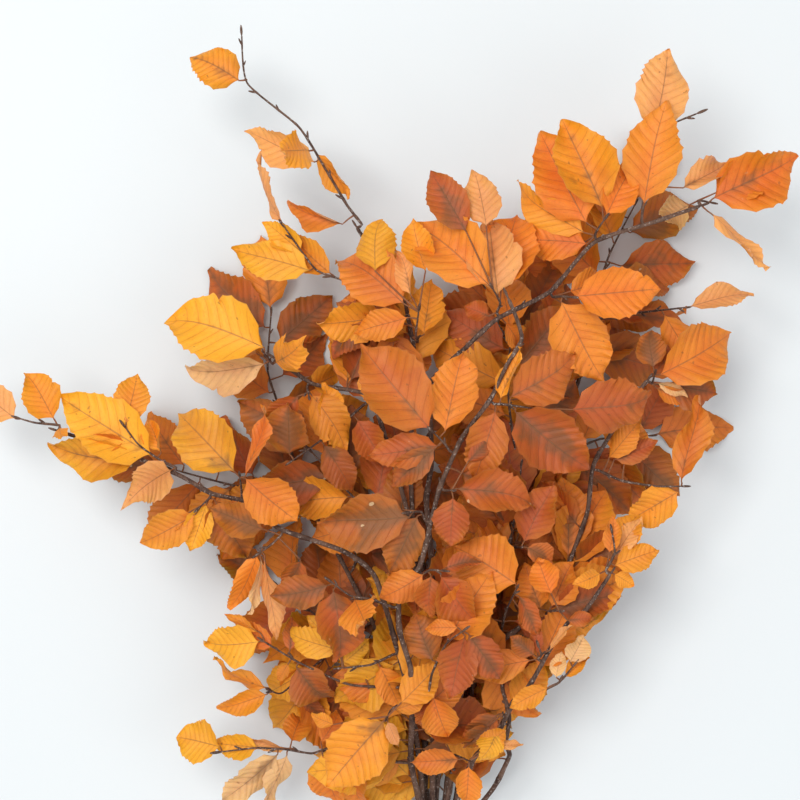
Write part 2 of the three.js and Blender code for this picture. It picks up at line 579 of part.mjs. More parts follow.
// The origin is under the middle of the bunch, on the surface.
const box = new THREE.Box3().setFromObject(bunch);
bunch.position.set(-(box.min.x + box.max.x) / 2, -(box.min.y + box.max.y) / 2, -box.min.z);

export default bunch;
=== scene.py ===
import math

import bpy
import numpy as np
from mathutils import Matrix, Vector, kdtree


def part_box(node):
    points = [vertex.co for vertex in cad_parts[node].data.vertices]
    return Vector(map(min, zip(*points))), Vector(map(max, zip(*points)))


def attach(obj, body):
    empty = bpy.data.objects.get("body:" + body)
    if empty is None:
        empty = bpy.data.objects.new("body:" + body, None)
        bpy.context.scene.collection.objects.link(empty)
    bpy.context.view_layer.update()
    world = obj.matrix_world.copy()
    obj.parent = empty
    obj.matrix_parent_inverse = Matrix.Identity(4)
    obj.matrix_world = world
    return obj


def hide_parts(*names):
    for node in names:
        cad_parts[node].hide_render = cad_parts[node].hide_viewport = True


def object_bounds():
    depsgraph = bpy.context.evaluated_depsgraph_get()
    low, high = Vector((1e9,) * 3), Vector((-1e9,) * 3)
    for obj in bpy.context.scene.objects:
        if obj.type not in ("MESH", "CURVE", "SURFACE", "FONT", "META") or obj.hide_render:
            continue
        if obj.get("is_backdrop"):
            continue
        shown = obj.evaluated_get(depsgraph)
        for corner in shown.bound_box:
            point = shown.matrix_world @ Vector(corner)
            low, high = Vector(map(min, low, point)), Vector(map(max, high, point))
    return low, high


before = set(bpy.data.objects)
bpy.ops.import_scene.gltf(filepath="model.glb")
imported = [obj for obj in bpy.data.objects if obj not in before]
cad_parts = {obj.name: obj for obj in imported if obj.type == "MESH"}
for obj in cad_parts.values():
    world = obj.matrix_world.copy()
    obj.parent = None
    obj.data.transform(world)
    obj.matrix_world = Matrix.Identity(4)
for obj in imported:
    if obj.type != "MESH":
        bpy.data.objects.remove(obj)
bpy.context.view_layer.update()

STEM_DIAMETER = 5.2
STEM_TIP_DIAMETER = 2.8
TWIG_DIAMETER = 2.2
TWIG_TIP_DIAMETER = 1.2
BARE_LENGTH = 95
SLOT_WIDTH = STEM_DIAMETER + 0.9
BUNDLE_RADIUS = 2.2 * SLOT_WIDTH
BAND_WALL = 1.6
BAND_WIDTH = 14
BAND_HEIGHT = BUNDLE_RADIUS + BAND_WALL
GAP = 0.3
RISE_LENGTH = 200
SHORT_STALK = 4
TURNED_STALK = 14
LONG_STALK = 46
STALK_LEAN = 0.4
FOLD = 0.1
DROOP = 0.1
STATIONS = (0.25, 0.64)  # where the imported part's blades have corners, as shares of their length
SAME_CORNER = 0.04  # a point nearer than this to a packed corner is that corner
LEAST_LISTED = 0.86  # a listed leaf is shown at no less than this share of its length
OPEN_CURL, TURNED_CURL, HIDDEN_CURL = 1.5, 2.4, 1.2

# Stems: name, place in the bundle, height in the head, height at the tip, and the plan route.
STEMS = [
    ("stem_front", (-0.5, 1.5), 112, 132, [
        (-19, 94), (-18, 146), (-20, 176), (-28, 204), (-28, 228), (-13, 253), (-5, 285), (2, 312),
        (18, 348), (38, 375), (50, 400), (61, 419), (57, 435), (51, 449)]),
    ("stem_front_right", (0.5, 1.5), 104, 108, [
        (28, 97), (40, 112), (50, 130), (57, 148), (68, 160), (76, 175), (82, 187), (97, 210), (109, 218),
        (128, 246)]),
    ("stem_thin_right", (1.5, 0.5), 80, 84, [
        (45, 72), (54, 92), (57, 101), (54, 112), (56, 131), (53, 145), (50, 160), (62, 190)]),
    ("stem_left", (-1.5, 0.5), 94, 98, [
        (-12, 90), (-24, 165), (-46, 242), (-70, 262), (-118, 279), (-143, 299), (-168, 305), (-193, 319),
        (-240, 338), (-283, 352)]),
    ("stem_main", (-0.5, 0.5), 84, 124, [
        (-2, 100), (-1, 160), (-2, 205), (-4, 255), (-8, 300), (-4, 330), (-6, 378), (-3, 391), (19, 412),
        (44, 435), (83, 455), (115, 491), (160, 506), (192, 517)]),
    ("stem_right", (0.5, 0.5), 74, 80, [
        (18, 118), (19, 150), (35, 180), (47, 191), (79, 215), (98, 246), (114, 290), (119, 327), (146, 372),
        (159, 390)]),
    ("stem_upper_left", (-0.5, -0.5), 64, 74, [
        (4, 110), (2, 170), (-6, 230), (-22, 290), (-38, 345), (-53, 379), (-93, 387), (-122, 406)]),
    ("stem_top_left", (-1.5, -0.5), 56, 98, [
        (-8, 100), (-10, 160), (-16, 250), (-20, 330), (-16, 400), (-20, 428), (-25, 450), (-46, 482),
        (-60, 504)]),
    ("stem_thin_middle", (1.5, -0.5), 48, 52, [
        (20, 80), (28, 128), (28, 152), (40, 200), (56, 260), (66, 330)]),
    ("stem_back_right", (0.5, -0.5), 34, 26, [
        (12, 90), (22, 160), (48, 240), (84, 320), (112, 390), (126, 440)]),
    ("stem_back_left", (-0.5, -1.5), 24, 20, [
        (-10, 90), (-30, 160), (-64, 230), (-100, 300), (-120, 350)]),
]

# Side shoots: name, parent stem, height at the tip, the tone of each leaf, plan route, and the leaves as
# (base x, base y, tip x, tip y, width / length, roll in degrees).
SPRAYS = [
    ("spray_top_left", "stem_top_left", 108, "apaao",
     [(-61, 508), (-67, 520), (-82, 545), (-103, 578), (-141, 610), (-145, 645)],
     [(-147, 612, -181, 634, 0.78, 0), (-90, 553, -146, 577, 0.44, 12), (-100, 556, -142, 541, 0.65, 0),
      (-92, 562, -62, 524, 0.42, -30), (-71, 506, -115, 521, 0.34, 40)]),
    ("spray_left_upper", "stem_top_left", 92, "yapy",
     [(-27, 437), (-40, 440), (-58, 455), (-71, 465), (-91, 473), (-114, 504)],
     [(-94, 473, -152, 492, 0.5, 0), (-76, 469, -112, 498, 0.55, 10), (-116, 507, -145, 555, 0.3, 50),
      (-100, 482, -129, 508, 0.5, 0)]),
    ("spray_crown_left", "stem_top_left", 116, "oyapao",
     [(-22, 418), (-16, 424), (-14, 440)],
     [(-25, 446, -72, 491, 0.66, 0), (-46, 470, -48, 520, 0.7, 0), (-10, 424, -4, 468, 0.6, 8),
      (-20, 452, -27, 493, 0.42, 30), (-9, 470, -23, 514, 0.6, 0), (-22, 436, -64, 424, 0.55, 0)]),
    ("spray_crown_middle", "stem_main", 130, "porpdro",
     [(45, 438), (46, 446), (40, 456)],
     [(44, 448, 37, 508, 0.7, 0), (38, 455, -15, 509, 0.62, 0), (18, 503, -13, 556, 0.55, 8),
      (35, 503, 29, 552, 0.66, -8), (57, 441, 64, 503, 0.72, 0), (38, 437, 20, 446, 0.8, 0),
      (38, 428, 60, 404, 0.66, 0)]),
    ("spray_crown_right", "stem_main", 128, "dadadb",
     [(116, 495), (117, 500), (121, 506)],
     [(109, 505, 71, 571, 0.6, 0), (120, 515, 93, 581, 0.62, 0), (123, 505, 148, 556, 0.52, -14),
      (108, 498, 53, 531, 0.42, 20), (110, 490, 50, 500, 0.58, 0), (105, 477, 74, 460, 0.7, 0)]),
    ("spray_crown_tall", "stem_main", 122, "pop",
     [(150, 506), (152, 530), (155, 560), (167, 575), (190, 585)],
     [(158, 572, 174, 632, 0.64, 0), (160, 508, 170, 583, 0.56, 0), (180, 531, 217, 551, 0.5, 30)]),
    ("spray_crown_end", "stem_main", 122, "dpto",
     [(195, 518), (199, 520)],
     [(200, 521, 263, 552, 0.63, 0), (174, 502, 217, 462, 0.36, 40), (157, 501, 103, 478, 0.52, 0),
      (150, 462, 197, 483, 0.72, 0)]),
    ("spray_right_middle", "stem_main", 130, "doob",
     [(85, 453), (91, 451), (97, 450)],
     [(96, 451, 160, 457, 0.6, 0), (91, 449, 122, 388, 0.64, 0), (62, 428, 91, 437, 0.8, 0),
      (63, 426, 86, 414, 0.4, 20)]),
    ("spray_right_reach", "stem_back_right", 96, "prro",
     [(128, 442), (157, 442), (185, 444)],
     [(189, 445, 237, 459, 0.42, 25), (150, 438, 206, 432, 0.3, 30), (124, 427, 178, 428, 0.36, 20),
      (170, 444, 196, 400, 0.5, 0)]),
    ("spray_right_end", "stem_right", 92, "obtbo",
     [(160, 391), (163, 394)],
     [(166, 394, 231, 423, 0.62, 0), (157, 394, 153, 423, 0.85, 0), (164, 388, 188, 380, 0.4, 20),
      (154, 362, 193, 357, 0.85, 0), (166, 384, 197, 372, 0.5, -20)]),
    ("spray_right_low", "stem_right", 84, "oaoro",
     [(120, 322), (140, 314), (165, 310), (184, 310)],
     [(184, 313, 196, 378, 0.4, 30), (182, 308, 143, 284, 0.66, 0), (131, 281, 137, 322, 0.84, 0),
      (134, 330, 168, 342, 0.5, 20), (130, 331, 154, 362, 0.5, 20)]),
    ("spray_rust_upper", "stem_front", 124, "rrrar",
     [(40, 373), (47, 372), (54, 371), (69, 369)],
     [(57, 370, 108, 322, 0.64, 0), (98, 368, 163, 373, 0.62, 0), (53, 377, 104, 404, 0.66, 0),
      (44, 370, 59, 408, 0.35, 30), (42, 367, 28, 315, 0.58, 0)]),
    ("spray_rust_left", "stem_front", 136, "rrob",
     [(8, 338), (5, 343), (-3, 351)],
     [(-4, 352, -57, 412, 0.62, 0), (2, 343, -50, 335, 0.5, 0), (5, 352, 16, 412, 0.6, 0),
      (-2, 340, -42, 308, 0.5, 0)]),
    ("spray_brown_left", "stem_front", 126, "bbb",
     [(-8, 286), (-12, 293), (-19, 293)],
     [(-20, 291, -88, 285, 0.62, 0), (-12, 291, -35, 247, 0.62, 0), (-4, 306, -43, 310, 0.58, 0)]),
    ("spray_rust_right", "stem_front", 128, "rrr",
     [(4, 309), (10, 309)],
     [(13, 310, 72, 306, 0.54, 0), (11, 304, 7, 262, 0.76, 0), (22, 330, 44, 352, 0.5, 0)]),
    ("spray_middle", "stem_front", 122, "rorr",
     [(-14, 247), (-6, 250), (2, 250)],
     [(2, 249, 26, 213, 0.7, 0), (-8, 250, -38, 229, 0.7, 0), (-5, 246, -9, 210, 0.62, 0),
      (4, 251, 34, 262, 0.5, 20)]),
    ("spray_round", "stem_right", 112, "orb",
     [(50, 196), (52, 218), (58, 235)],
     [(58, 236, 14, 267, 0.88, 0), (60, 230, 76, 200, 0.5, 20), (46, 231, 60, 212, 0.6, 0)]),
    ("spray_rust_centre", "stem_thin_middle", 108, "rrrb",
     [(58, 262), (62, 266)],
     [(63, 268, 82, 312, 0.64, 0), (43, 267, 53, 298, 0.62, 0), (64, 266, 90, 252, 0.7, 15),
      (62, 262, 78, 250, 0.5, -30)]),
    ("spray_right_lobe", "stem_right", 110, "oodr",
     [(81, 214), (84, 217), (90, 219)],
     [(78, 218, 64, 251, 0.76, 0), (82, 218, 98, 252, 0.76, 0), (112, 222, 100, 248, 0.8, 0),
      (96, 212, 119, 214, 0.62, 0)]),
    ("spray_right_fan", "stem_front_right", 112, "aapaao",
     [(130, 248), (131, 262), (129, 276)],
     [(128, 254, 161, 266, 0.62, 0), (131, 246, 147, 237, 0.7, 0), (114, 251, 139, 289, 0.42, 20),
      (124, 243, 99, 233, 0.62, 0), (118, 192, 141, 230, 0.6, 0), (125, 214, 131, 245, 0.5, 15)]),
    ("spray_right_tan", "stem_front_right", 98, "ttaa",
     [(67, 154), (80, 158), (91, 164), (101, 176)],
     [(100, 178, 110, 198, 0.85, 0), (91, 166, 94, 186, 0.6, 20), (86, 170, 56, 157, 0.5, 0),
      (93, 165, 114, 183, 0.5, 20)]),
    ("spray_smooth", "stem_front_right", 112, "orbp",
     [(79, 180), (77, 186), (75, 192)],
     [(76, 177, 28, 169, 0.5, 0), (77, 181, 75, 209, 0.42, 20), (74, 184, 57, 199, 0.7, 0),
      (83, 190, 99, 212, 0.3, 40)]),
    ("spray_front", "stem_front", 126, "rrobor",
     [(-15, 145), (-7, 154), (-4, 172), (6, 195), (18, 206)],
     [(19, 203, 6, 157, 0.64, 0), (22, 204, 47, 170, 0.62, 0), (16, 207, -9, 207, 0.5, 0),
      (-3, 182, -18, 216, 0.8, 0), (-3, 153, 7, 119, 0.78, 0), (-9, 151, -14, 128, 0.7, 0)]),
    ("spray_left_far", "stem_left", 96, "paa",
     [(-286, 353), (-300, 358), (-311, 361)],
     [(-312, 361, -350, 390, 0.6, 0), (-284, 351, -303, 387, 0.72, 0), (-276, 352, -262, 330, 0.5, 10)]),
    ("spray_left_gold", "stem_left", 106, "yypaao",
     [(-196, 322), (-206, 330), (-222, 342), (-231, 354)],
     [(-209, 332, -278, 374, 0.56, 0), (-222, 330, -303, 331, 0.46, 0), (-196, 318, -242, 294, 0.56, 0),
      (-231, 357, -221, 401, 0.7, 0), (-206, 336, -216, 367, 0.5, 30), (-232, 344, -268, 347, 0.46, 10)]),
    ("spray_left_fork", "stem_left", 112, "yod",
     [(-146, 303), (-146, 318)],
     [(-150, 322, -197, 371, 0.64, 0), (-142, 317, -106, 281, 0.72, 0), (-142, 319, -122, 378, 0.34, 40)]),
    ("spray_left_under", "stem_left", 100, "byaa",
     [(-170, 302), (-176, 296)],
     [(-168, 301, -146, 250, 0.64, 0), (-173, 303, -185, 268, 0.6, 0), (-180, 290, -221, 266, 0.6, 0),
      (-158, 262, -182, 249, 0.6, 0)]),
    ("spray_left_hang", "stem_left", 98, "dtpbr",
     [(-116, 276), (-124, 267), (-131, 262)],
     [(-134, 260, -149, 214, 0.46, 20), (-131, 256, -137, 208, 0.32, 50), (-129, 256, -120, 184, 0.28, -50),
      (-80, 268, -121, 283, 0.6, 0), (-102, 255, -112, 230, 0.7, 0)]),
    ("spray_gold_upper", "stem_upper_left", 100, "ytap",
     [(-125, 408), (-129, 410)],
     [(-129, 411, -200, 445, 0.66, 0), (-130, 402, -198, 390, 0.42, 20), (-117, 407, -68, 424, 0.56, 0),
      (-107, 387, -134, 404, 0.5, 20)]),
    ("spray_amber_left", "stem_upper_left", 92, "aar",
     [(-99, 384), (-96, 378)],
     [(-97, 382, -65, 344, 0.62, 0), (-96, 391, -58, 404, 0.6, 0), (-104, 378, -128, 352, 0.6, 0)]),
    ("spray_brown_upper", "stem_upper_left", 84, "brba",
     [(-50, 374), (-80, 350), (-108, 330)],
     [(-111, 334, -110, 374, 0.88, 0), (-60, 360, -40, 326, 0.62, 0), (-88, 345, -64, 310, 0.6, 0),
      (-75, 350, -82, 382, 0.6, 0)]),
    ("spray_low_brown", "stem_front", 108, "bro",
     [(-31, 222), (-50, 228), (-64, 230), (-77, 239)],
     [(-77, 239, -119, 226, 0.6, 0), (-76, 236, -67, 182, 0.66, 0), (-63, 224, -38, 186, 0.74, 0)]),
    ("spray_low_gold", "stem_left", 90, "yyoy",
     [(-30, 184), (-50, 176), (-71, 174)],
     [(-73, 187, -116, 200, 0.52, 0), (-70, 175, -48, 190, 0.6, 0), (-46, 182, -30, 148, 0.56, 0),
      (-72, 190, -104, 214, 0.5, 0)]),
    ("spray_low_dark", "stem_left", 84, "badrya",
     [(-24, 158), (-66, 160), (-104, 177), (-130, 193)],
     [(-105, 175, -84, 143, 0.88, 0), (-112, 176, -121, 163, 0.6, 0), (-118, 190, -149, 207, 0.5, 15),
      (-112, 184, -110, 210, 0.5, 0), (-133, 193, -175, 187, 0.78, 0), (-134, 200, -164, 217, 0.3, 40)]),
    ("spray_low_fork", "stem_front", 104, "aapaa",
     [(-21, 150), (-34, 144), (-37, 140)],
     [(-40, 141, -83, 92, 0.7, 0), (-36, 144, -12, 152, 0.6, 0), (-37, 138, -27, 117, 0.5, 0),
      (-73, 134, -38, 168, 0.66, 0), (-77, 134, -97, 142, 0.6, 0)]),
    ("spray_low_left", "stem_front", 84, "yttoopoy",
     [(-23, 96), (-43, 99), (-80, 109), (-95, 106), (-115, 110), (-137, 112), (-162, 110)],
     [(-163, 113, -197, 121, 0.95, 0), (-120, 109, -161, 68, 0.46, 20), (-113, 107, -130, 64, 0.42, 30),
      (-66, 100, -62, 62, 0.6, 0), (-88, 114, -72, 136, 0.66, 0), (-104, 116, -138, 124, 0.3, 40),
      (-110, 116, -98, 158, 0.5, 0), (-128, 118, -163, 122, 0.56, 0)]),
    ("spray_low_pair", "stem_back_left", 70, "aab",
     [(-50, 200), (-90, 172), (-118, 150), (-126, 154)],
     [(-128, 155, -172, 168, 0.36, 30), (-128, 152, -173, 138, 0.44, 0), (-112, 158, -92, 130, 0.5, 0)]),
    ("spray_foot", "stem_main", 88, "ooap",
     [(1, 100), (14, 104), (24, 104)],
     [(21, 104, -16, 102, 0.56, 0), (24, 102, 21, 72, 0.7, 0), (28, 94, 50, 113, 0.72, 0),
      (44, 115, 69, 117, 0.36, 20)]),
    ("spray_foot_right", "stem_thin_right", 78, "ryyb",
     [(57, 134), (50, 138)],
     [(47, 137, 20, 114, 0.56, 0), (46, 152, 36, 128, 0.8, 0), (56, 133, 79, 131, 0.95, 0),
      (30, 172, 8, 152, 0.6, 0)]),
]

# Deep shoots: name, parent stem, plan start, heading in degrees, length, height at the tip, leaf count.
DEEP_SPRAYS = [
    ("spray_deep_1", "stem_back_left", -38, 178, 150, 100, 8, 8),
    ("spray_deep_2", "stem_back_left", -100, 305, 172, 110, 9, 8),
    ("spray_deep_3", "stem_back_left", -122, 352, 95, 90, 12, 7),
    ("spray_deep_4", "stem_back_left", -68, 240, 60, 120, 10, 8),
    ("spray_deep_5", "stem_back_right", 127, 444, 70, 90, 10, 7),
    ("spray_deep_6", "stem_back_right", 92, 330, 12, 80, 8, 7),
    ("spray_deep_7", "stem_back_right", 104, 372, 125, 110, 14, 8),
    ("spray_deep_8", "stem_thin_middle", 66, 334, 96, 90, 66, 7),
    ("spray_deep_9", "stem_top_left", -18, 270, 140, 100, 60, 8),
]

# Leaf colours, as display values from 0 to 1: golden, amber, orange, deep orange, rust, brown, the pale
# satin underside, and tan.
TONES = {
    "y": (0.96, 0.65, 0.14), "a": (0.94, 0.56, 0.13), "o": (0.90, 0.47, 0.14), "d": (0.91, 0.43, 0.10),
    "r": (0.70, 0.29, 0.11), "b": (0.66, 0.32, 0.11), "p": (0.93, 0.58, 0.32), "t": (0.92, 0.74, 0.53),
}

# The plan outline that the dense foliage fills, for the leaves that grow behind the listed ones.
DENSE = [
    (-104, 60), (-112, 84), (-122, 106), (-132, 150), (-142, 194), (-150, 222), (-176, 250), (-210, 272),
    (-234, 304),
    (-278, 322), (-286, 342), (-262, 366), (-232, 378), (-206, 364), (-184, 384), (-156, 398), (-122, 408),
    (-104, 420), (-80, 440), (-66, 476), (-58, 508), (-28, 480), (-12, 508), (26, 502), (60, 518), (66, 560),
    (120, 562), (152, 548), (196, 562), (200, 500), (226, 456), (226, 420), (206, 390), (192, 372),
    (190, 324), (182, 296), (158, 264), (136, 226), (118, 196), (92, 166), (74, 140), (62, 110), (56, 84),
    (50, 60),
]
HIDDEN_LEAVES = 300
TRIES = 14

seed = 7


def chance():
    """The next number from 0 to 1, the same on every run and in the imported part's own order."""
    global seed
    seed = (seed * 16807) % 2147483647
    return seed / 2147483647


def between(low, high):
    return low + (high - low) * chance()


def unit(v):
    return v / max(np.linalg.norm(v), 1e-9)


def smooth(x, low, high):
    t = np.clip((x - low) / (high - low), 0, 1)
    return t * t * (3 - 2 * t)


def linear(colour):
    """Display colour to the linear values that shaders use."""
    return tuple(c / 12.92 if c <= 0.04045 else ((c + 0.055) / 1.055) ** 2.4 for c in colour)


# ---- Where everything is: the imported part's own placing rules ----
def stem_path(stem, lift):
    """A stem's centre line: straight through the band, then up over the rise and on to its tip."""
    _, (column, row), head_height, tip_height, route = stem
    x = column * SLOT_WIDTH
    plan = [(x, -BARE_LENGTH), (x, -20), (x, 20), *route]
    slot_height = BAND_HEIGHT + row * SLOT_WIDTH
    runs, run = [], 0
    for i, (px, py) in enumerate(plan):
        if i > 2:
            run += math.hypot(px - plan[i - 1][0], py - plan[i - 1][1])
        runs.append(run)
    path = []
    for (px, py), at in zip(plan, runs):
        rise = float(smooth(at, 0, RISE_LENGTH))
        reach = max(0, at - RISE_LENGTH) / max(1, run - RISE_LENGTH)
        head = head_height + (tip_height - head_height) * reach + lift
        path.append((px, py, slot_height + (head - slot_height) * rise))
    return np.array(path)


def nearest(path, x, y):
    """The path's nearest point to a plan point, its plan heading there, and how far off it is."""
    best = None
    for a, b in zip(path[:-1], path[1:]):
        span = b[:2] - a[:2]
        part = ((x - a[0]) * span[0] + (y - a[1]) * span[1]) / (span @ span or 1)
        point = a + (b - a) * min(max(part, 0), 1)
        off = math.hypot(point[0] - x, point[1] - y)
        if best is None or off < best[2]:
            best = (point, unit(span), off)
    return best


def twig_path(parent_path, route, height, bow):
    join, heading, _ = nearest(parent_path, *route[0])
    away = np.array((-heading[1], heading[0]))
    if (route[1][0] - join[0]) * away[0] + (route[1][1] - join[1]) * away[1] < 0:
        away = -away
    clear = (STEM_DIAMETER + TWIG_DIAMETER) / 2 + 2 * GAP
    begin = join[:2] + away * clear
    plan = [begin, *route[1:]]
    total = len(plan) - 1
    return np.array([
        (p[0], p[1], join[2] + (height - join[2]) * i / total + bow * math.sin(math.pi * i / total / 2))
        for i, p in enumerate(plan)])


def rod_ring(path, index, radius, sides):
    """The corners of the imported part's rod at one point of its path."""
    ahead = unit(path[min(index + 1, len(path) - 1)] - path[max(index - 1, 0)])
    side = unit(np.cross(ahead, (0, 0, 1)))
    top = np.cross(ahead, side)
    angles = 2 * math.pi * np.arange(sides) / sides
    return path[index] + radius * (np.cos(angles)[:, None] * side + np.sin(angles)[:, None] * top)


def rod_corners(path, start, end, sides):
    rings = [rod_ring(path, i, (start + (end - start) * i / (len(path) - 1)) / 2, sides)
             for i in range(len(path))]
    return np.concatenate(rings)


def half_width(s):
    return np.sin(np.pi * np.clip(s, 0, 1) ** 0.92).clip(0) ** 0.7


def leaf_axes(heading, pitch, roll):
    """Unit vectors along a leaf, across it and up from its face."""
    flat = np.array((math.cos(heading), math.sin(heading), 0))
    up = np.array((0, 0, 1))
    along = flat * math.cos(pitch) + up * math.sin(pitch)
    level = up * math.cos(pitch) - flat * math.sin(pitch)
    side = np.cross(level, along)
    face = level * math.cos(roll) + side * math.sin(roll)
    return along, np.cross(face, along), face


def leaf_start(root, base, along):
    """Where the blade begins, at the end of its stalk."""
    stalk = np.array((base[0] - root[0], base[1] - root[1], 0.0))
    reach = min(max(np.linalg.norm(stalk), SHORT_STALK), LONG_STALK)
    stalk = unit(stalk)
    if stalk @ along < STALK_LEAN:
        return root + along * min(reach, TURNED_STALK)
    return root + stalk * reach


def deep_spray(name, parent, x, y, heading, length, height, count):
    """A deep shoot as a spray: leaves left and right in turn, and one at its end."""
    angle = math.radians(heading)
    cos, sin = math.cos(angle), math.sin(angle)
    route = []
    for part in (0, 0.5, 1):
        sway = 6 if part == 0.5 else 0
        route.append((x + part * length * cos - sway * sin, y + part * length * sin + sway * cos))
    leaves = []
    for index in range(count):
        part = (index + 1) / count
        side = 0 if index == count - 1 else (1 if index % 2 else -1)
        turn = angle + side * math.radians(42 + 26 * chance())
        grown = 46 + 20 * chance()
        bx = x + part * length * cos + 6 * math.cos(turn)
        by = y + part * length * sin + 6 * math.sin(turn)
        roll = -16 + 32 * chance()
        leaves.append((bx, by, bx + grown * math.cos(turn), by + grown * math.sin(turn), 0.62, roll))
    return name, parent, height, "borabrob"[:count], route, leaves


low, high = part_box("band")
shift = np.array((low + high) / 2) * 1000 - (0, 0, BAND_HEIGHT)


def corners_of(node):
    """The node's corners, in the layout's millimetres, ready to look up."""
    co = np.empty(len(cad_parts[node].data.vertices) * 3, np.float32)
    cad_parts[node].data.vertices.foreach_get("co", co)
    co = co.reshape(-1, 3) * 1000 - shift
    tree = kdtree.KDTree(len(co))
    for i, point in enumerate(co):
        tree.insert(point, i)
    tree.balance()
    return tree


def matches(tree, points):
    """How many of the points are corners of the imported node."""
    return sum(tree.find(p)[2] < SAME_CORNER for p in points)


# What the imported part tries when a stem, twig or leaf has no room: lifts and bows in millimetres, turns in
# degrees and shares of a leaf's length.
LIFTS = (0, 4, -4, 8, -8, 12, -12, 17, -17, 23, -23, 30, -30)
BOWS = (0, 5, -5, 10, -10, 15, -15, 20, -20, 26, -26, 32, -32, 40, -40)
PITCHES = (0, 8, -8, 16, -16, 24, -24, 33, -33, 43, -43, 55, -55, 68, -68)
ROLLS = (0, 14, -14, 30, -30, 50, -50)
SIZES = (1, 0.85, 0.7, 0.55, 0.4, 0.28)


def blade_sides(axes, start, length, half):
    """The corners of a packed blade's sides."""
    along, across, face = axes
    sides = []
    for s in STATIONS:
        width = half * float(half_width(s))
        spot = start + along * length * s + face * (FOLD * width - DROOP * length * s * s)
        sides += [spot - across * width, spot + across * width]
    return sides


def packed_pose(tree, root, base, heading, length, ratio, pitch, roll):
    """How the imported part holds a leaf: its axes, where its blade starts and its share of the length."""
    pose, best = None, 2
    for pitch_turn in PITCHES:
        for roll_turn in ROLLS:
            axes = leaf_axes(heading, math.radians(pitch + pitch_turn), math.radians(roll + roll_turn))
            start = leaf_start(root, base, axes[0])
            for size in SIZES:
                grown = length * size
                tip = start + axes[0] * grown - axes[2] * DROOP * grown
                if tree.find(tip)[2] > SAME_CORNER:
                    continue
                score = 1 + matches(tree, blade_sides(axes, start, grown, grown * ratio / 2))
                if score > best:
                    pose, best = (axes, start, size), score
    return pose


stem_paths = {}
for stem in STEMS:
    tree = corners_of(stem[0])
    tries = [stem_path(stem, lift) for lift in LIFTS]
    stem_paths[stem[0]] = max(
        tries, key=lambda p: matches(tree, rod_corners(p, STEM_DIAMETER, STEM_TIP_DIAMETER, 7)))

sprays = [*SPRAYS, *(deep_spray(*row) for row in DEEP_SPRAYS)]
LISTED = {row[0] for row in SPRAYS}
PARENTS = {row[0]: row[1] for row in sprays}
twig_paths = {}
leaves = []
for name, parent, height, tones, route, spray_leaves in sprays:
    tree = corners_of(name)
    tries = [twig_path(stem_paths[parent], route, height, bow) for bow in BOWS]
    twig = max(tries, key=lambda p: matches(tree, rod_corners(p, TWIG_DIAMETER, TWIG_TIP_DIAMETER, 4)))
    twig_paths[name] = twig
    for tone, (bx, by, tx, ty, ratio, roll) in zip(tones, spray_leaves):
        pitch = -14 + 20 * chance()
        heading, length = math.atan2(ty - by, tx - bx), math.hypot(tx - bx, ty - by)
        root = nearest(twig, bx, by)[0]
        pose = packed_pose(tree, root, (bx, by), heading, length, ratio, pitch, roll)
        if pose is None:
            continue
        axes, start, size = pose
        full = length * (max(size, LEAST_LISTED) if name in LISTED else size)
        is_open = abs(roll) < 30 and ratio > 0.4
        leaves.append({"piece": name, "root": root, "start": start, "axes": axes, "length": full,
                       "half": full * ratio / 2, "tone": tone,
                       "curl": OPEN_CURL if is_open else TURNED_CURL})

# ---- Leaves behind the listed ones, which fill the dense foliage ----
CELL = 8
GRID = 96
ORIGIN = np.array((-380, -20))
PERCH_STEP = 9
LOWEST_SPOT = 3


def leaf_points(start, axes, length, half):
    """A few points spread over a leaf's blade."""
    along, across, face = axes
    spots = []
    for s in (0.12, 0.32, 0.52, 0.72, 0.92):
        width = half * float(half_width(s))
        for w in (-0.7, 0, 0.7):
            spots.append(start + along * length * s + across * w * width
                         + face * (FOLD * abs(w) * width - DROOP * length * s * s))
    return np.array(spots)


def cells_of(points):
    """The cells of the plan grid that the points lie in."""
    at = ((points[:, :2] - ORIGIN) / CELL).astype(int)
    return at[:, 0].clip(0, GRID - 1), at[:, 1].clip(0, GRID - 1)


def within(x, y):
    """True inside the dense foliage's outline."""
    inside = False
    for (ax, ay), (bx, by) in zip(DENSE, DENSE[1:] + DENSE[:1]):
        if (ay > y) != (by > y) and x < ax + (y - ay) * (bx - ax) / (by - ay):
            inside = not inside
    return inside


# For each cell: the height that a hidden leaf has to stay under, and how often leaves cover it.
roof = np.full((GRID, GRID), 1e6)
cover = np.zeros((GRID, GRID))
for leaf in leaves:
    spots = leaf_points(leaf["start"], leaf["axes"], leaf["length"], leaf["half"])
    cx, cy = cells_of(spots)
    np.minimum.at(roof, (cx, cy), spots[:, 2])
    cover[cx, cy] += 1

for path in [*stem_paths.values(), *(twig_paths[name] for name in LISTED)]:
    for a, b in zip(path[:-1], path[1:]):
        for part in np.linspace(0, 1, 1 + math.ceil(np.linalg.norm(b - a) / 5)):
            spot = (a + (b - a) * part)[None]
            cx, cy = cells_of(spot)
            hidden = cover[cx, cy] > 0
            np.minimum.at(roof, (cx[~hidden], cy[~hidden]), spot[~hidden, 2])

# Places on the twigs and stems where a hidden leaf can grow.
perches = []
for name, path in [*twig_paths.items(), *stem_paths.items()]:
    for a, b in zip(path[:-1], path[1:]):
        steps = max(1, int(np.linalg.norm(b - a) / PERCH_STEP))
        for i in range(steps):
            perches.append((name, a + (b - a) * (i + 0.5) / steps, unit(b - a)))
perches = [perch for perch in perches if within(*perch[1][:2])]
listed = [leaf for leaf in leaves if leaf["piece"] in LISTED]
centres = np.array([leaf["start"][:2] + leaf["axes"][0][:2] * leaf["length"] / 2 for leaf in listed])


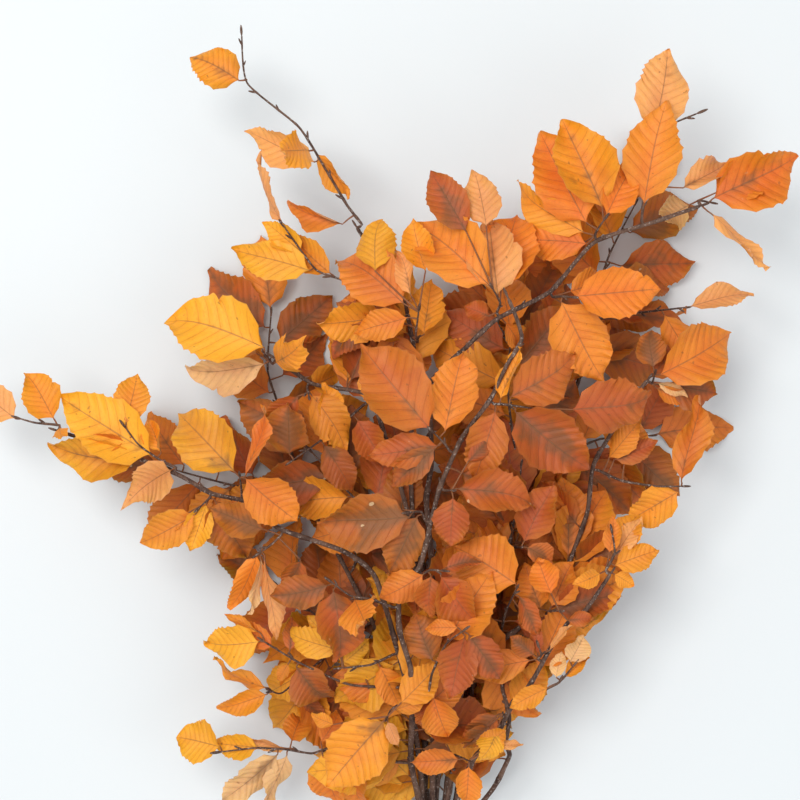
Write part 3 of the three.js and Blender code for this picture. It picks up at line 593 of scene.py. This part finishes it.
def tone_near(x, y):
    """The tone of one of the three nearest listed leaves: never pale, and mostly golden low on the left."""
    order = np.argsort(((centres - (x, y)) ** 2).sum(1))[:3]
    tone = listed[order[int(chance() * 3)]]["tone"]
    if tone in "pt" or chance() < 0.14:
        tone = "orba"[int(chance() * 4)]
    golden = smooth(-x, -30, 40) * (1 - smooth(y, 230, 330))
    if chance() < 0.8 * golden:
        tone = "yyyao"[int(chance() * 5)]
    return tone


def hidden_leaf():
    """The best of several chance leaves, which covers the most that is still bare, or None if none fits."""
    best, best_score = None, 0
    for _ in range(TRIES):
        name, root, ahead = perches[int(chance() * len(perches))]
        heading = math.atan2(ahead[1], ahead[0]) + between(-1.9, 1.9)
        pitch, roll = between(-0.35, 0.3), between(-0.4, 0.4)
        length, reach = between(42, 74), between(5, 11)
        axes = leaf_axes(heading, pitch, roll)
        start = root + unit(axes[0] + (0, 0, between(-0.5, 0.2))) * reach
        half = length * between(0.27, 0.36)
        spots = leaf_points(start, axes, length, half)
        tip = spots[-2]
        if spots[:, 2].min() < LOWEST_SPOT or not within(*tip[:2]) or not within(*spots[6][:2]):
            continue
        cx, cy = cells_of(spots)
        if (spots[:, 2] > roof[cx, cy] - 1.5).sum() > 1:
            continue
        if chance() < 0.5 * (1 - smooth(tip[1], 110, 220)):
            continue
        bare = cover[cx, cy]
        score = 3 * (bare == 0).sum() + (bare == 1).sum() + 0.2
        if score > best_score:
            tone = tone_near(*spots[7][:2])
            best, best_score = {"piece": name, "root": root, "start": start, "axes": axes,
                                "length": length, "half": half, "tone": tone,
                                "curl": HIDDEN_CURL, "spots": spots}, score
    return best


for _ in range(HIDDEN_LEAVES):
    leaf = hidden_leaf()
    if leaf:
        cover[cells_of(leaf["spots"])] += 1
        leaves.append(leaf)

# ---- A leaf's mesh ----
VEINS = 9
ROWS = 4 * VEINS + 1
HALF_COLUMNS = 6
COLUMNS = 2 * HALF_COLUMNS + 1
SWEEP = 0.36
STALK_RINGS = 12
STALK_SIDES = 6
FREE_RINGS = 4  # the rings of a stalk before it meets its blade
RIB_THICKNESS = 0.5
EDGE_THICKNESS = 0.16
SHARP_ANGLE = 70
REST = 4  # below this height a leaf flattens out on the surface it lies on

vein_at = np.linspace(0, 1, ROWS)[:, None]
across_at = np.linspace(-1, 1, COLUMNS)[None, :]
across_at = np.sign(across_at) * np.abs(across_at) ** 0.85


def blade(leaf):
    """Corners of a blade's two faces, with each corner's place across the leaf and along its veins."""
    t, w, far = vein_at, across_at, np.abs(across_at)
    along, across, face = leaf["axes"]
    length, half, curl = leaf["length"], leaf["half"], leaf["curl"]
    s = t + SWEEP * far * (1 - t) ** 0.8 * np.minimum(1, 0.35 + 2.5 * t)
    full = between(0.86, 1.0)
    width = np.sin(np.pi * s.clip(0, 1) ** full).clip(0) ** 0.8
    width = width * (1 - 0.3 * smooth(s, 0.84, 0.97)) + 0.012
    teeth = 1 + 0.075 * (0.5 - np.abs(np.sin(np.pi * VEINS * t))) * far ** 5
    wander = 2 * np.pi * (between(2.2, 3.4) * t + chance() * w)
    teeth = teeth * (1 + 0.035 * np.sin(wander) * far ** 3)
    # Some sides are bitten or torn at one place.
    for side in (-1, 1):
        if chance() < 0.35:
            bite = between(0.25, 0.85)
            torn = between(0.08, 0.32) * np.exp(-((t - bite) / between(0.012, 0.03)) ** 2)
            teeth = teeth * (1 - np.where(np.sign(w) == side, torn * far ** 3, 0))
    x = w * half * width * teeth
    # A dried blade bends along its length, cups, twists, waves at its edges and folds between its veins.
    bend, sickle = between(-0.5, 0.3) * curl, between(-0.1, 0.1)
    cup, twist = between(-0.3, 0.5) * curl, between(-0.6, 0.6) * curl
    z = (FOLD * np.abs(x) - DROOP * length * s * s + bend * length * (s - 0.45) ** 2 * s
         + cup * x * x / half)
    phase = 2 * np.pi * (between(0.9, 1.7) * t + np.where(w < 0, chance(), chance()))
    z = z + 0.17 * curl * half * far ** 2 * np.sin(phase)
    fold = 0.5 - 0.5 * np.cos(2 * np.pi * VEINS * t)
    z = z + between(0.07, 0.12) * half * far * fold * np.sin(np.pi * t)
    angle = twist * (s - 0.25)
    x, z = x * np.cos(angle) - z * np.sin(angle), x * np.sin(angle) + z * np.cos(angle)
    x = x + sickle * length * s * s
    middle = leaf["start"] + along * (length * s)[..., None]
    top = middle + across * x[..., None] + face * z[..., None]
    thick = EDGE_THICKNESS + (RIB_THICKNESS - EDGE_THICKNESS) * (1 - far) ** 2
    under = top - face * (thick * np.ones_like(s))[..., None]
    return top, under


def blade_faces():
    """Faces of one blade, and for each whether it is on the under side. Both sides share their edges."""
    inner = COLUMNS - 2

    def below(r, c):
        if c in (0, COLUMNS - 1):
            return r * COLUMNS + c
        return ROWS * COLUMNS + r * inner + c - 1

    faces, kinds = [], []
    for r in range(ROWS - 1):
        for c in range(COLUMNS - 1):
            a = r * COLUMNS + c
            faces.append((a, a + 1, a + COLUMNS + 1, a + COLUMNS))
            faces.append((below(r, c), below(r + 1, c), below(r + 1, c + 1), below(r, c + 1)))
            kinds += [0, 1]
    for r, turned in ((0, False), (ROWS - 1, True)):
        for c in range(COLUMNS - 1):
            ring = [r * COLUMNS + c, below(r, c), below(r, c + 1), r * COLUMNS + c + 1]
            ring = list(dict.fromkeys(ring))
            faces.append(tuple(ring[::-1] if turned else ring))
            kinds.append(0)
    return faces, kinds


def stalk_faces():
    """Faces of one stalk: a tube of rings with flat ends, kind 2."""
    first = ROWS * COLUMNS + ROWS * (COLUMNS - 2)
    faces = []
    for r in range(STALK_RINGS - 1):
        for i in range(STALK_SIDES):
            j = (i + 1) % STALK_SIDES
            a = first + r * STALK_SIDES
            faces.append((a + i, a + j, a + STALK_SIDES + j, a + STALK_SIDES + i))
    last = first + (STALK_RINGS - 1) * STALK_SIDES
    faces.append(tuple(first + i for i in range(STALK_SIDES))[::-1])
    faces.append(tuple(last + i for i in range(STALK_SIDES)))
    return faces, [2] * len(faces)


BLADE_FACES, BLADE_KINDS = blade_faces()
STALK_FACES, STALK_KINDS = stalk_faces()
LEAF_FACES = BLADE_FACES + STALK_FACES
LEAF_KINDS = BLADE_KINDS + STALK_KINDS


def stalk(leaf, under):
    """A tube from the twig to the blade and on beneath its middle, as the rib."""
    rib = under[:, HALF_COLUMNS]
    _, across, face = leaf["axes"]
    points = []
    for i in range(FREE_RINGS):
        part = i / FREE_RINGS
        sag = face * (-1.2 * math.sin(math.pi * part))
        points.append(leaf["root"] + (rib[0] - leaf["root"]) * part + sag)
    for i in range(STALK_RINGS - FREE_RINGS):
        points.append(rib[round(i * (ROWS - 2) / (STALK_RINGS - FREE_RINGS - 1))])
    points = np.array(points)
    angles = 2 * math.pi * np.arange(STALK_SIDES) / STALK_SIDES
    rings = []
    for i, point in enumerate(points):
        ahead = unit(points[min(i + 1, len(points) - 1)] - points[max(i - 1, 0)])
        side = unit(np.cross(ahead, face))
        top = np.cross(side, ahead)
        radius = 0.75 - 0.6 * i / (STALK_RINGS - 1)
        rings.append(point + radius * (np.cos(angles)[:, None] * side + np.sin(angles)[:, None] * top))
    return np.concatenate(rings)


def add_object(name, data):
    made = bpy.data.objects.new(name, data)
    bpy.context.collection.objects.link(made)
    return made


def add_attribute(mesh, name, kind, values):
    field = {"FLOAT": "value", "FLOAT_VECTOR": "vector", "FLOAT_COLOR": "color"}[kind]
    mesh.attributes.new(name, kind, "POINT").data.foreach_set(field, values.ravel())


def make_leaves(name, members, material):
    """One mesh of all the leaves that grow on one shoot."""
    count = len(members)
    grid = math.ceil(math.sqrt(3 * count))
    points, faces, cells, chart, vein, tone, leaf_data = [], [], [], [], [], [], []
    base = 0
    inner = slice(1, COLUMNS - 1)
    t_grid = np.broadcast_to(vein_at, (ROWS, COLUMNS))
    w_grid = np.broadcast_to(across_at, (ROWS, COLUMNS))
    for number, leaf in enumerate(members):
        top, under = blade(leaf)
        tube = stalk(leaf, under)
        own = np.concatenate([top.reshape(-1, 3), under[:, inner].reshape(-1, 3), tube])
        ring = np.arange(len(tube))
        tube_w = np.abs(2 * (ring % STALK_SIDES) / STALK_SIDES - 1)
        tube_t = ring // STALK_SIDES / (STALK_RINGS - 1)
        w = np.concatenate([w_grid.ravel(), w_grid[:, inner].ravel(), tube_w])
        t = np.concatenate([t_grid.ravel(), t_grid[:, inner].ravel(), tube_t])
        is_under = np.concatenate([np.zeros(top[..., 0].size), np.ones(under[:, inner, 0].size), tube_t * 0])
        if leaf["tone"] in "pt":
            is_under = 1 - is_under
        is_stalk = np.concatenate([np.zeros(len(own) - len(tube)), np.ones(len(tube))])
        points.append(own)
        chart.append(np.stack([w / 2 + 0.5, t], 1))
        vein.append(np.stack([w, t, is_under], 1))
        age = {"b": between(0.75, 1), "r": between(0.35, 0.95)}.get(leaf["tone"], between(0, 0.6))
        leaf_data.append(np.stack([np.full(len(own), chance()), np.full(len(own), age), is_stalk], 1))
        tone.append(np.tile((*linear(TONES[leaf["tone"]]), 1), (len(own), 1)))
        faces += [tuple(i + base for i in face) for face in LEAF_FACES]
        cells += [3 * number + kind for kind in LEAF_KINDS]
        base += len(own)
    points = np.concatenate(points) + shift
    resting = points[:, 2] < REST
    points[resting, 2] = REST * np.exp((points[resting, 2] - REST) / REST)
    points = points / 1000
    mesh = bpy.data.meshes.new(name)
    mesh.from_pydata(points.tolist(), [], faces)
    add_attribute(mesh, "vein", "FLOAT_VECTOR", np.concatenate(vein))
    add_attribute(mesh, "leaf", "FLOAT_VECTOR", np.concatenate(leaf_data))
    add_attribute(mesh, "tone", "FLOAT_COLOR", np.concatenate(tone))
    # Each upper face, under face and stalk has its own square of the chart.
    corner = np.empty(len(mesh.loops), np.int32)
    mesh.loops.foreach_get("vertex_index", corner)
    cell = np.repeat(np.array(cells), [len(face) for face in faces])
    place = np.stack([cell % grid, cell // grid], 1)
    uv = (place + 0.04 + 0.92 * np.concatenate(chart)[corner]) / grid
    mesh.uv_layers.new(name="OFBake").data.foreach_set("uv", uv.astype(np.float32).ravel())
    mesh.shade_smooth()
    mesh.set_sharp_from_angle(angle=math.radians(SHARP_ANGLE))
    mesh.materials.append(material)
    return add_object(name, mesh)


# ---- Node trees ----
class Value:
    """A socket that can be used in sums."""

    def __init__(self, nodes, socket):
        self.nodes, self.socket = nodes, socket

    def __add__(self, other):
        return self.nodes.maths("ADD", self, other)

    def __sub__(self, other):
        return self.nodes.maths("SUBTRACT", self, other)

    def __rsub__(self, other):
        return self.nodes.maths("SUBTRACT", other, self)

    def __mul__(self, other):
        return self.nodes.maths("MULTIPLY", self, other)

    __radd__, __rmul__ = __add__, __mul__


class Nodes:
    """Builds nodes in one tree."""

    def __init__(self, tree):
        self.tree = tree

    def add(self, kind, settings=None, inputs=None):
        node = self.tree.nodes.new(kind)
        for key, value in (settings or {}).items():
            setattr(node, key, value)
        for key, value in (inputs or {}).items():
            if isinstance(value, Value):
                self.tree.links.new(value.socket, node.inputs[key])
            else:
                node.inputs[key].default_value = value
        return node

    def out(self, kind, settings=None, inputs=None, output=0):
        return Value(self, self.add(kind, settings, inputs).outputs[output])

    def maths(self, operation, *values):
        return self.out("ShaderNodeMath", {"operation": operation}, dict(enumerate(values)))

    def smooth(self, value, low, high):
        inputs = {"Value": value, "From Min": low, "From Max": high}
        return self.out("ShaderNodeMapRange", {"interpolation_type": "SMOOTHSTEP"}, inputs)

    def mix(self, factor, a, b, blend="MIX"):
        return self.out("ShaderNodeMix", {"data_type": "RGBA", "blend_type": blend},
                        {0: factor, 6: a, 7: b}, 2)

    def noise(self, where, scale, detail=2.0, roughness=0.5):
        return self.out("ShaderNodeTexNoise", None,
                        {"Vector": where, "Scale": scale, "Detail": detail, "Roughness": roughness})

    def place(self):
        """The object's own coordinates."""
        return self.out("ShaderNodeTexCoord", None, None, 3)

    def attribute(self, name, output):
        return self.out("ShaderNodeAttribute", {"attribute_name": name}, None, output)

    def split(self, vector):
        node = self.add("ShaderNodeSeparateXYZ", None, {0: vector})
        return [Value(self, socket) for socket in node.outputs]


def finish_material(material, n, colour, roughness, height, depth, subsurface=0.0):
    """Ends a material: a Principled shader with its bump."""
    bump = n.out("ShaderNodeBump", None, {"Height": height, "Distance": depth, "Strength": 0.6})
    surface = n.out("ShaderNodeBsdfPrincipled", None, {
        "Base Color": colour, "Roughness": roughness, "Normal": bump, "IOR": 1.4,
        "Subsurface Weight": subsurface, "Subsurface Scale": 0.004, "Subsurface Radius": (1, 0.4, 0.1)})
    n.add("ShaderNodeOutputMaterial", None, {0: surface})
    return material


def new_material(name):
    """A blank material and the builder of its nodes."""
    material = bpy.data.materials.new(name)
    material.use_nodes = True
    material.node_tree.nodes.clear()
    return material, Nodes(material.node_tree)


def leaf_material():
    material, n = new_material("leaf")
    where = n.place()
    across, along, under = n.split(n.attribute("vein", 1))
    lot, age, is_stalk = n.split(n.attribute("leaf", 1))
    tone = n.attribute("tone", 0)
    far = n.maths("ABSOLUTE", across)
    step = n.maths("ABSOLUTE", n.maths("FRACT", along * VEINS + 0.5) - 0.5)
    side_vein = (1 - n.smooth(step, 0.0, 0.05)) * (1 - n.smooth(far, 0.8, 1.0))
    # Painted shade in the furrows round the veins, lightest midway between them; the same mask also steers
    # where the stain spreads.
    furrow_shade_and_stain = (1 - n.smooth(step, 0.0, 0.42)) * (1 - 0.4 * far)
    rib = 1 - n.smooth(far, 0.008, 0.038)
    broad = n.noise(where, 46.0, 3.0)
    fine = n.noise(where, 420.0, 3.0, 0.6)
    with_veins = n.out("ShaderNodeCombineXYZ", None, {0: along * 60, 1: far * 5, 2: lot * 37 + across})
    fibre = n.noise(with_veins, 1.0, 3.0, 0.6)
    net = n.out("ShaderNodeTexVoronoi", {"feature": "DISTANCE_TO_EDGE"}, {"Vector": where, "Scale": 900.0})
    web = 1 - n.smooth(net, 0.0, 0.09)
    # Each leaf leans a little to gold or to red, and so do patches of it.
    lean = n.smooth(broad * 1.1 + lot * 0.35 + 0.22 * far + 0.12 * along, 0.55, 1.08)
    colour = n.mix(0.36 * lean * (1 - 0.7 * age), tone, (0.88, 0.35, 0.03, 1))
    colour = n.mix(0.6 * (1 - lean) * (0.25 + 0.75 * age), colour, (0.46, 0.105, 0.02, 1))
    colour = n.mix(0.30 * under, colour, (0.84, 0.44, 0.19, 1))
    # Veins: red-brown on the upper face, in shallow furrows. The furrows round them get painted shade, so the
    # folds between them look paler.
    dark = n.mix(0.8, colour, (0.42, 0.20, 0.12, 1), "MULTIPLY")
    colour = n.mix(side_vein * (0.42 - 0.2 * under), colour, dark)
    # Painted shade in the furrows round the veins.
    colour = n.mix(0.14 * furrow_shade_and_stain, colour, dark)
    colour = n.mix(0.3 * n.smooth(fibre, 0.48, 0.75), colour, dark)
    colour = n.mix(0.08 * web, colour, dark)
    colour = n.mix(rib * 0.55, colour, (0.26, 0.10, 0.04, 1))
    # Browning: dull olive-brown spreads from the ribs of the older leaves, and edges dry.
    spread = broad * 1.5 + 0.7 * age - 0.5 * far + 0.06 * furrow_shade_and_stain + 0.12 * fibre - 0.2 * along
    stain = n.smooth(spread, 1.04, 1.4)
    colour = n.mix(0.66 * stain, colour, (0.125, 0.062, 0.022, 1))
    edge = n.smooth(far, 0.95, 1.0) * n.smooth(fine, 0.4, 0.6)
    colour = n.mix(0.25 * edge, colour, (0.30, 0.09, 0.02, 1))
    # Specks and eaten spots.
    speck = n.smooth(n.noise(where, 240.0, 1.0), 0.735, 0.77)
    colour = n.mix(0.45 * speck, colour, (0.14, 0.05, 0.015, 1))
    spot = n.smooth(n.noise(where, 95.0, 1.0), 0.775, 0.79) * n.smooth(age, 0.5, 0.7)
    colour = n.mix(0.6 * spot, colour, (0.74, 0.52, 0.30, 1))
    value = 0.76 + 0.22 * fine + 0.14 * fibre + 0.12 * lot
    colour = n.mix(1.0, colour, n.out("ShaderNodeCombineColor", None, {0: value, 1: value, 2: value}),
                   "MULTIPLY")
    twig = n.mix(fine, (0.14, 0.045, 0.018, 1), (0.34, 0.13, 0.045, 1))
    colour = n.mix(is_stalk, colour, twig)
    roughness = 0.36 + 0.16 * fine + 0.12 * fibre
    sign = 1 - 2 * under
    height = 0.5 - 0.4 * side_vein * sign - 0.5 * rib * sign - 0.1 * web + 0.25 * fine + 0.4 * fibre
    return finish_material(material, n, colour, roughness, height, 0.0007, 0.15)


def bark_material():
    material, n = new_material("bark")
    where = n.place()
    broad = n.noise(where, 90.0, 4.0, 0.6)
    fine = n.noise(where, 700.0, 3.0, 0.6)
    stretched = n.out("ShaderNodeMapping", None, {"Vector": where, "Scale": (1, 0.18, 1)})
    fibre = n.noise(stretched, 900.0, 2.0)
    flecks = n.smooth(n.noise(where, 520.0, 1.0), 0.62, 0.68)
    colour = n.mix(n.smooth(broad, 0.35, 0.7), (0.045, 0.019, 0.012, 1), (0.150, 0.078, 0.050, 1))
    colour = n.mix(0.5 * n.smooth(fibre, 0.45, 0.7), colour, (0.21, 0.135, 0.10, 1))
    colour = n.mix(0.7 * flecks, colour, (0.36, 0.29, 0.25, 1))
    colour = n.mix(0.35 * n.smooth(fine, 0.5, 0.75), colour, (0.028, 0.013, 0.011, 1))
    height = broad * 0.5 + fibre * 0.4 + flecks * 0.5
    return finish_material(material, n, colour, 0.62 + 0.2 * fine, height, 0.0005)


def cut_material():
    material, n = new_material("cut_wood")
    where = n.place()
    fine = n.noise(where, 1500.0, 3.0)
    rays = n.noise(where, 600.0, 1.0)
    colour = n.mix(n.smooth(fine, 0.3, 0.7), (0.42, 0.27, 0.15, 1), (0.66, 0.50, 0.32, 1))
    colour = n.mix(0.5 * n.smooth(rays, 0.55, 0.7), colour, (0.22, 0.12, 0.06, 1))
    return finish_material(material, n, colour, 0.8 + 0.1 * fine, fine, 0.0003)


def band_material():
    material, n = new_material("band")
    where = n.place()
    broad = n.noise(where, 70.0, 2.0)
    fine = n.noise(where, 1300.0, 2.0)
    colour = n.mix(broad, (0.34, 0.22, 0.10, 1), (0.46, 0.32, 0.16, 1))
    colour = n.mix(0.3 * n.smooth(fine, 0.5, 0.8), colour, (0.55, 0.46, 0.32, 1))
    return finish_material(material, n, colour, 0.5 + 0.2 * fine, fine + broad, 0.0003)


def floor_material():
    material, n = new_material("floor")
    where = n.place()
    broad = n.noise(where, 1.5, 1.0)
    fine = n.noise(where, 500.0, 2.0)
    colour = n.mix(broad, (0.71, 0.745, 0.76, 1), (0.75, 0.78, 0.795, 1))
    return finish_material(material, n, colour, 0.7 + 0.1 * fine, fine, 0.00005)


# ---- Shoots: bark round a path, with buds ----
def shoot_tree(material):
    """Geometry nodes that turn a path with girths and buds into a shoot."""
    tree = bpy.data.node_groups.new("shoot", "GeometryNodeTree")
    for way in ("INPUT", "OUTPUT"):
        tree.interface.new_socket("Geometry", in_out=way, socket_type="NodeSocketGeometry")
    for name, kind, least, value in (
            ("Sides", "NodeSocketInt", 3, 12), ("Bark Height", "NodeSocketFloat", 0, 1e-4),
            ("Bark Scale", "NodeSocketFloat", 0, 400), ("Bud Slimness", "NodeSocketFloat", 0, 0.24)):
        socket = tree.interface.new_socket(name, in_out="INPUT", socket_type=kind)
        socket.min_value, socket.default_value = least, value
    n = Nodes(tree)
    given = n.add("NodeGroupInput")
    asked = {socket.name: Value(n, socket) for socket in given.outputs if socket.name}

    def named(name, kind):
        return n.out("GeometryNodeInputNamedAttribute", {"data_type": kind}, {"Name": name})

    line = n.out("GeometryNodeMeshToCurve", None, {"Mesh": asked["Geometry"]})
    profile = n.out("GeometryNodeCurvePrimitiveCircle", None, {"Resolution": asked["Sides"], "Radius": 1.0})
    tube = n.out("GeometryNodeCurveToMesh", None, {
        "Curve": line, "Profile Curve": profile, "Scale": named("girth", "FLOAT"), "Fill Caps": True})
    ridge = n.noise(n.out("GeometryNodeInputPosition"), asked["Bark Scale"], 3.0) - 0.5
    normal = n.out("GeometryNodeInputNormal")
    offset = n.out("ShaderNodeVectorMath", {"operation": "SCALE"},
                   {0: normal, "Scale": ridge * asked["Bark Height"]})
    tube = n.out("GeometryNodeSetPosition", None, {"Geometry": tube, "Offset": offset})
    ball = n.out("GeometryNodeMeshUVSphere", None, {"Segments": 10, "Rings": 8, "Radius": 0.5})
    slim = n.out("ShaderNodeCombineXYZ", None, {0: asked["Bud Slimness"], 1: asked["Bud Slimness"], 2: 1.0})
    bud = n.out("GeometryNodeTransform", None, {
        "Geometry": ball, "Translation": (0, 0, 0.45), "Scale": slim})
    size = named("bud", "FLOAT")
    spots = n.out("GeometryNodeMeshToPoints", None, {
        "Mesh": asked["Geometry"], "Selection": n.maths("GREATER_THAN", size, 0.0)})
    turn = n.out("FunctionNodeAlignRotationToVector", {"axis": "Z"}, {"Vector": named("aim", "FLOAT_VECTOR")})
    buds = n.out("GeometryNodeInstanceOnPoints", None, {
        "Points": spots, "Instance": bud, "Rotation": turn, "Scale": size})
    join = n.add("GeometryNodeJoinGeometry")
    for part in (buds, tube):
        tree.links.new(part.socket, join.inputs[0])
    real = n.out("GeometryNodeRealizeInstances", None, {"Geometry": Value(n, join.outputs[0])})
    smooth_all = n.out("GeometryNodeSetShadeSmooth", None, {"Geometry": real})
    painted = n.out("GeometryNodeSetMaterial", None, {"Geometry": smooth_all, "Material": material})
    n.add("NodeGroupOutput", None, {0: painted})
    return tree


def fine_path(path, step):
    """The path with close, even points and softened corners."""
    points = []
    for i in range(len(path) - 1):
        a, b, c, d = (path[max(0, min(len(path) - 1, k))] for k in (i - 1, i, i + 1, i + 2))
        slope_b, slope_c = (c - a) * 0.3, (d - b) * 0.3
        count = max(1, round(np.linalg.norm(c - b) / step))
        for k in range(count):
            t = k / count
            t2, t3 = t * t, t * t * t
            points.append((2 * t3 - 3 * t2 + 1) * b + (t3 - 2 * t2 + t) * slope_b
                          + (3 * t2 - 2 * t3) * c + (t3 - t2) * slope_c)
    points.append(path[-1])
    return np.array(points)


def make_shoot(name, path, start, end, step, knot, sides, bud_from, tree):
    """A stem or twig of bark, start to end in diameter, thicker at its knots, with buds beside some of them
    and one at its tip. Below the plan's bud_from it is bare."""
    points = fine_path(path, step)
    run = np.concatenate([[0], np.cumsum(np.linalg.norm(np.diff(points, axis=0), axis=1))])
    girth = (start + (end - start) * run / run[-1]) / 2
    buds, aims = np.zeros(len(points)), np.zeros((len(points), 3))
    at, side = knot * between(0.5, 1), 1
    while at < run[-1] - 4:
        girth = girth * (1 + 0.22 * np.exp(-((run - at) / (0.9 * start)) ** 2))
        i = int(np.argmin(np.abs(run - at)))
        if 0 < i < len(points) - 1 and bud_from < points[i][1] and chance() < 0.75:
            ahead = unit(points[i + 1] - points[i - 1])
            out = unit(np.cross(ahead, (0, 0, 1))) * side + np.array((0, 0, between(-0.5, 0.8)))
            buds[i], aims[i] = between(4.5, 8), unit(ahead + 0.55 * unit(out))
        at += knot * between(0.7, 1.3)
        side = -side
    buds[-1], aims[-1] = between(7, 10), unit(points[-1] - points[-2])
    girth[-1] *= 0.6
    mesh = bpy.data.meshes.new(name)
    mesh.from_pydata(((points + shift) / 1000).tolist(), [(i, i + 1) for i in range(len(points) - 1)], [])
    add_attribute(mesh, "girth", "FLOAT", girth / 1000)
    add_attribute(mesh, "bud", "FLOAT", buds / 1000)
    add_attribute(mesh, "aim", "FLOAT_VECTOR", aims)
    line = add_object(name, mesh)
    modifier = line.modifiers.new("shoot", "NODES")
    modifier.node_group = tree
    sockets = {item.name: item.identifier for item in tree.interface.items_tree if item.in_out == "INPUT"}
    for key, value in (("Sides", sides), ("Bark Height", start * 0.06 / 1000), ("Bark Scale", 420.0)):
        modifier[sockets[key]] = value
    view = bpy.context.evaluated_depsgraph_get()
    made = bpy.data.meshes.new_from_object(line.evaluated_get(view))
    line.modifiers.clear()
    line.data = made
    return line


def solid_mesh(name, points, faces, material):
    mesh = bpy.data.meshes.new(name)
    mesh.from_pydata(((np.array(points) + shift) / 1000).tolist(), [], faces)
    mesh.materials.append(material)
    return add_object(name, mesh)


def make_band(material):
    """A flat rubber band with rounded edges."""
    around, profile = 96, []
    outline = [(-1, 0.1), (-1, 0.9), (-0.9, 1), (0.9, 1), (1, 0.9), (1, 0.1), (0.9, 0), (-0.9, 0)]
    for y, r in outline:
        profile.append((y * BAND_WIDTH / 2, BUNDLE_RADIUS + r * BAND_WALL))
    points, faces, count = [], [], len(profile)
    for i in range(around):
        angle = 2 * math.pi * i / around
        for y, r in profile:
            points.append((r * math.sin(angle), y, BAND_HEIGHT + r * math.cos(angle)))
    for i in range(around):
        for k in range(count):
            a, b = i * count, (i + 1) % around * count
            m = (k + 1) % count
            faces.append((a + k, b + k, b + m, a + m))
    return solid_mesh("rubber_band", points, faces, material)


def make_cut_ends(material):
    """The pale wood at each stem's cut end, a thin plug just proud of its bark."""
    points, faces, around = [], [], 24
    for path in stem_paths.values():
        x, y, z = path[0]
        base = len(points)
        for dy, part in ((0.6, 0.86), (-0.4, 0.86), (-0.5, 0.7), (-0.5, 0.12)):
            for i in range(around):
                angle = 2 * math.pi * i / around
                r = part * STEM_DIAMETER / 2
                points.append((x + r * math.cos(angle), y + dy, z + r * math.sin(angle)))
        for ring in range(3):
            for i in range(around):
                j = (i + 1) % around
                a = base + ring * around
                faces.append((a + i, a + around + i, a + around + j, a + j))
        faces.append(tuple(base + i for i in range(around)))
        faces.append(tuple(base + 3 * around + i for i in range(around))[::-1])
    return solid_mesh("stem_cut_ends", points, faces, material)


# ---- The pieces ----
leaf_look = leaf_material()
shoot_nodes = shoot_tree(bark_material())
made = []
for name, path in stem_paths.items():
    piece = make_shoot("bark_" + name, path, STEM_DIAMETER, STEM_TIP_DIAMETER, step=4, knot=38, sides=18,
                       bud_from=70, tree=shoot_nodes)
    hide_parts(name)
    made.append(piece)
for name, path in twig_paths.items():
    join = nearest(stem_paths[PARENTS[name]], *path[0][:2])[0]
    piece = make_shoot("twig_" + name, np.vstack([join, path]), TWIG_DIAMETER, TWIG_TIP_DIAMETER, step=2.5,
                       knot=19, sides=12, bud_from=0, tree=shoot_nodes)
    made.append(piece)
for name in [*twig_paths, *stem_paths]:
    members = [leaf for leaf in leaves if leaf["piece"] == name]
    if members:
        piece = make_leaves("leaves_" + name, members, leaf_look)
        if name in twig_paths:
            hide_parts(name)
        made.append(piece)
band = make_band(band_material())
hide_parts("band")
ends = make_cut_ends(cut_material())
made += [band, ends]
for piece in made:
    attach(piece, "root")

# ---- Floor, light and camera ----
bpy.ops.mesh.primitive_plane_add(size=40)
floor = bpy.context.object
floor.name = "floor"
floor.data.materials.append(floor_material())
floor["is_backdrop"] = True


def area(name, place, target, size, power, colour):
    """A square light at a place, turned to its target, in metres and watts."""
    light = bpy.data.lights.new(name, "AREA")
    light.size, light.energy, light.color = size, power, colour
    lamp = add_object(name, light)
    lamp.location = place
    lamp.rotation_euler = (Vector(target) - Vector(place)).to_track_quat("-Z", "Y").to_euler()


HEAD_CENTRE = (-27.75, 375, 0)  # in the plan
FRAME_WIDTH = 0.6
HEAD_MIDDLE = 0.09  # how high the frame is measured
middle = (np.array(HEAD_CENTRE) + shift) / 1000
area("key", (-0.7, 0.6, 2.3), middle, 1.2, 39, (1, 0.98, 0.95))
area("fill", (1.2, -0.9, 1.9), middle, 2.0, 15, (0.97, 0.99, 1))
world = bpy.data.worlds.new("studio")
bpy.context.scene.world = world
world.use_nodes = True
sky = world.node_tree.nodes["Background"]
sky.inputs["Color"].default_value = (0.93, 0.97, 1.0, 1)
sky.inputs["Strength"].default_value = 0.6

lens = bpy.data.cameras.new("camera")
lens.lens = 85
away = FRAME_WIDTH * lens.lens / lens.sensor_width
camera = add_object("camera", lens)
camera.location = (middle[0], middle[1], HEAD_MIDDLE + away)
bpy.context.scene.camera = camera
bpy.context.scene.view_settings.view_transform = "Standard"

low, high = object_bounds()
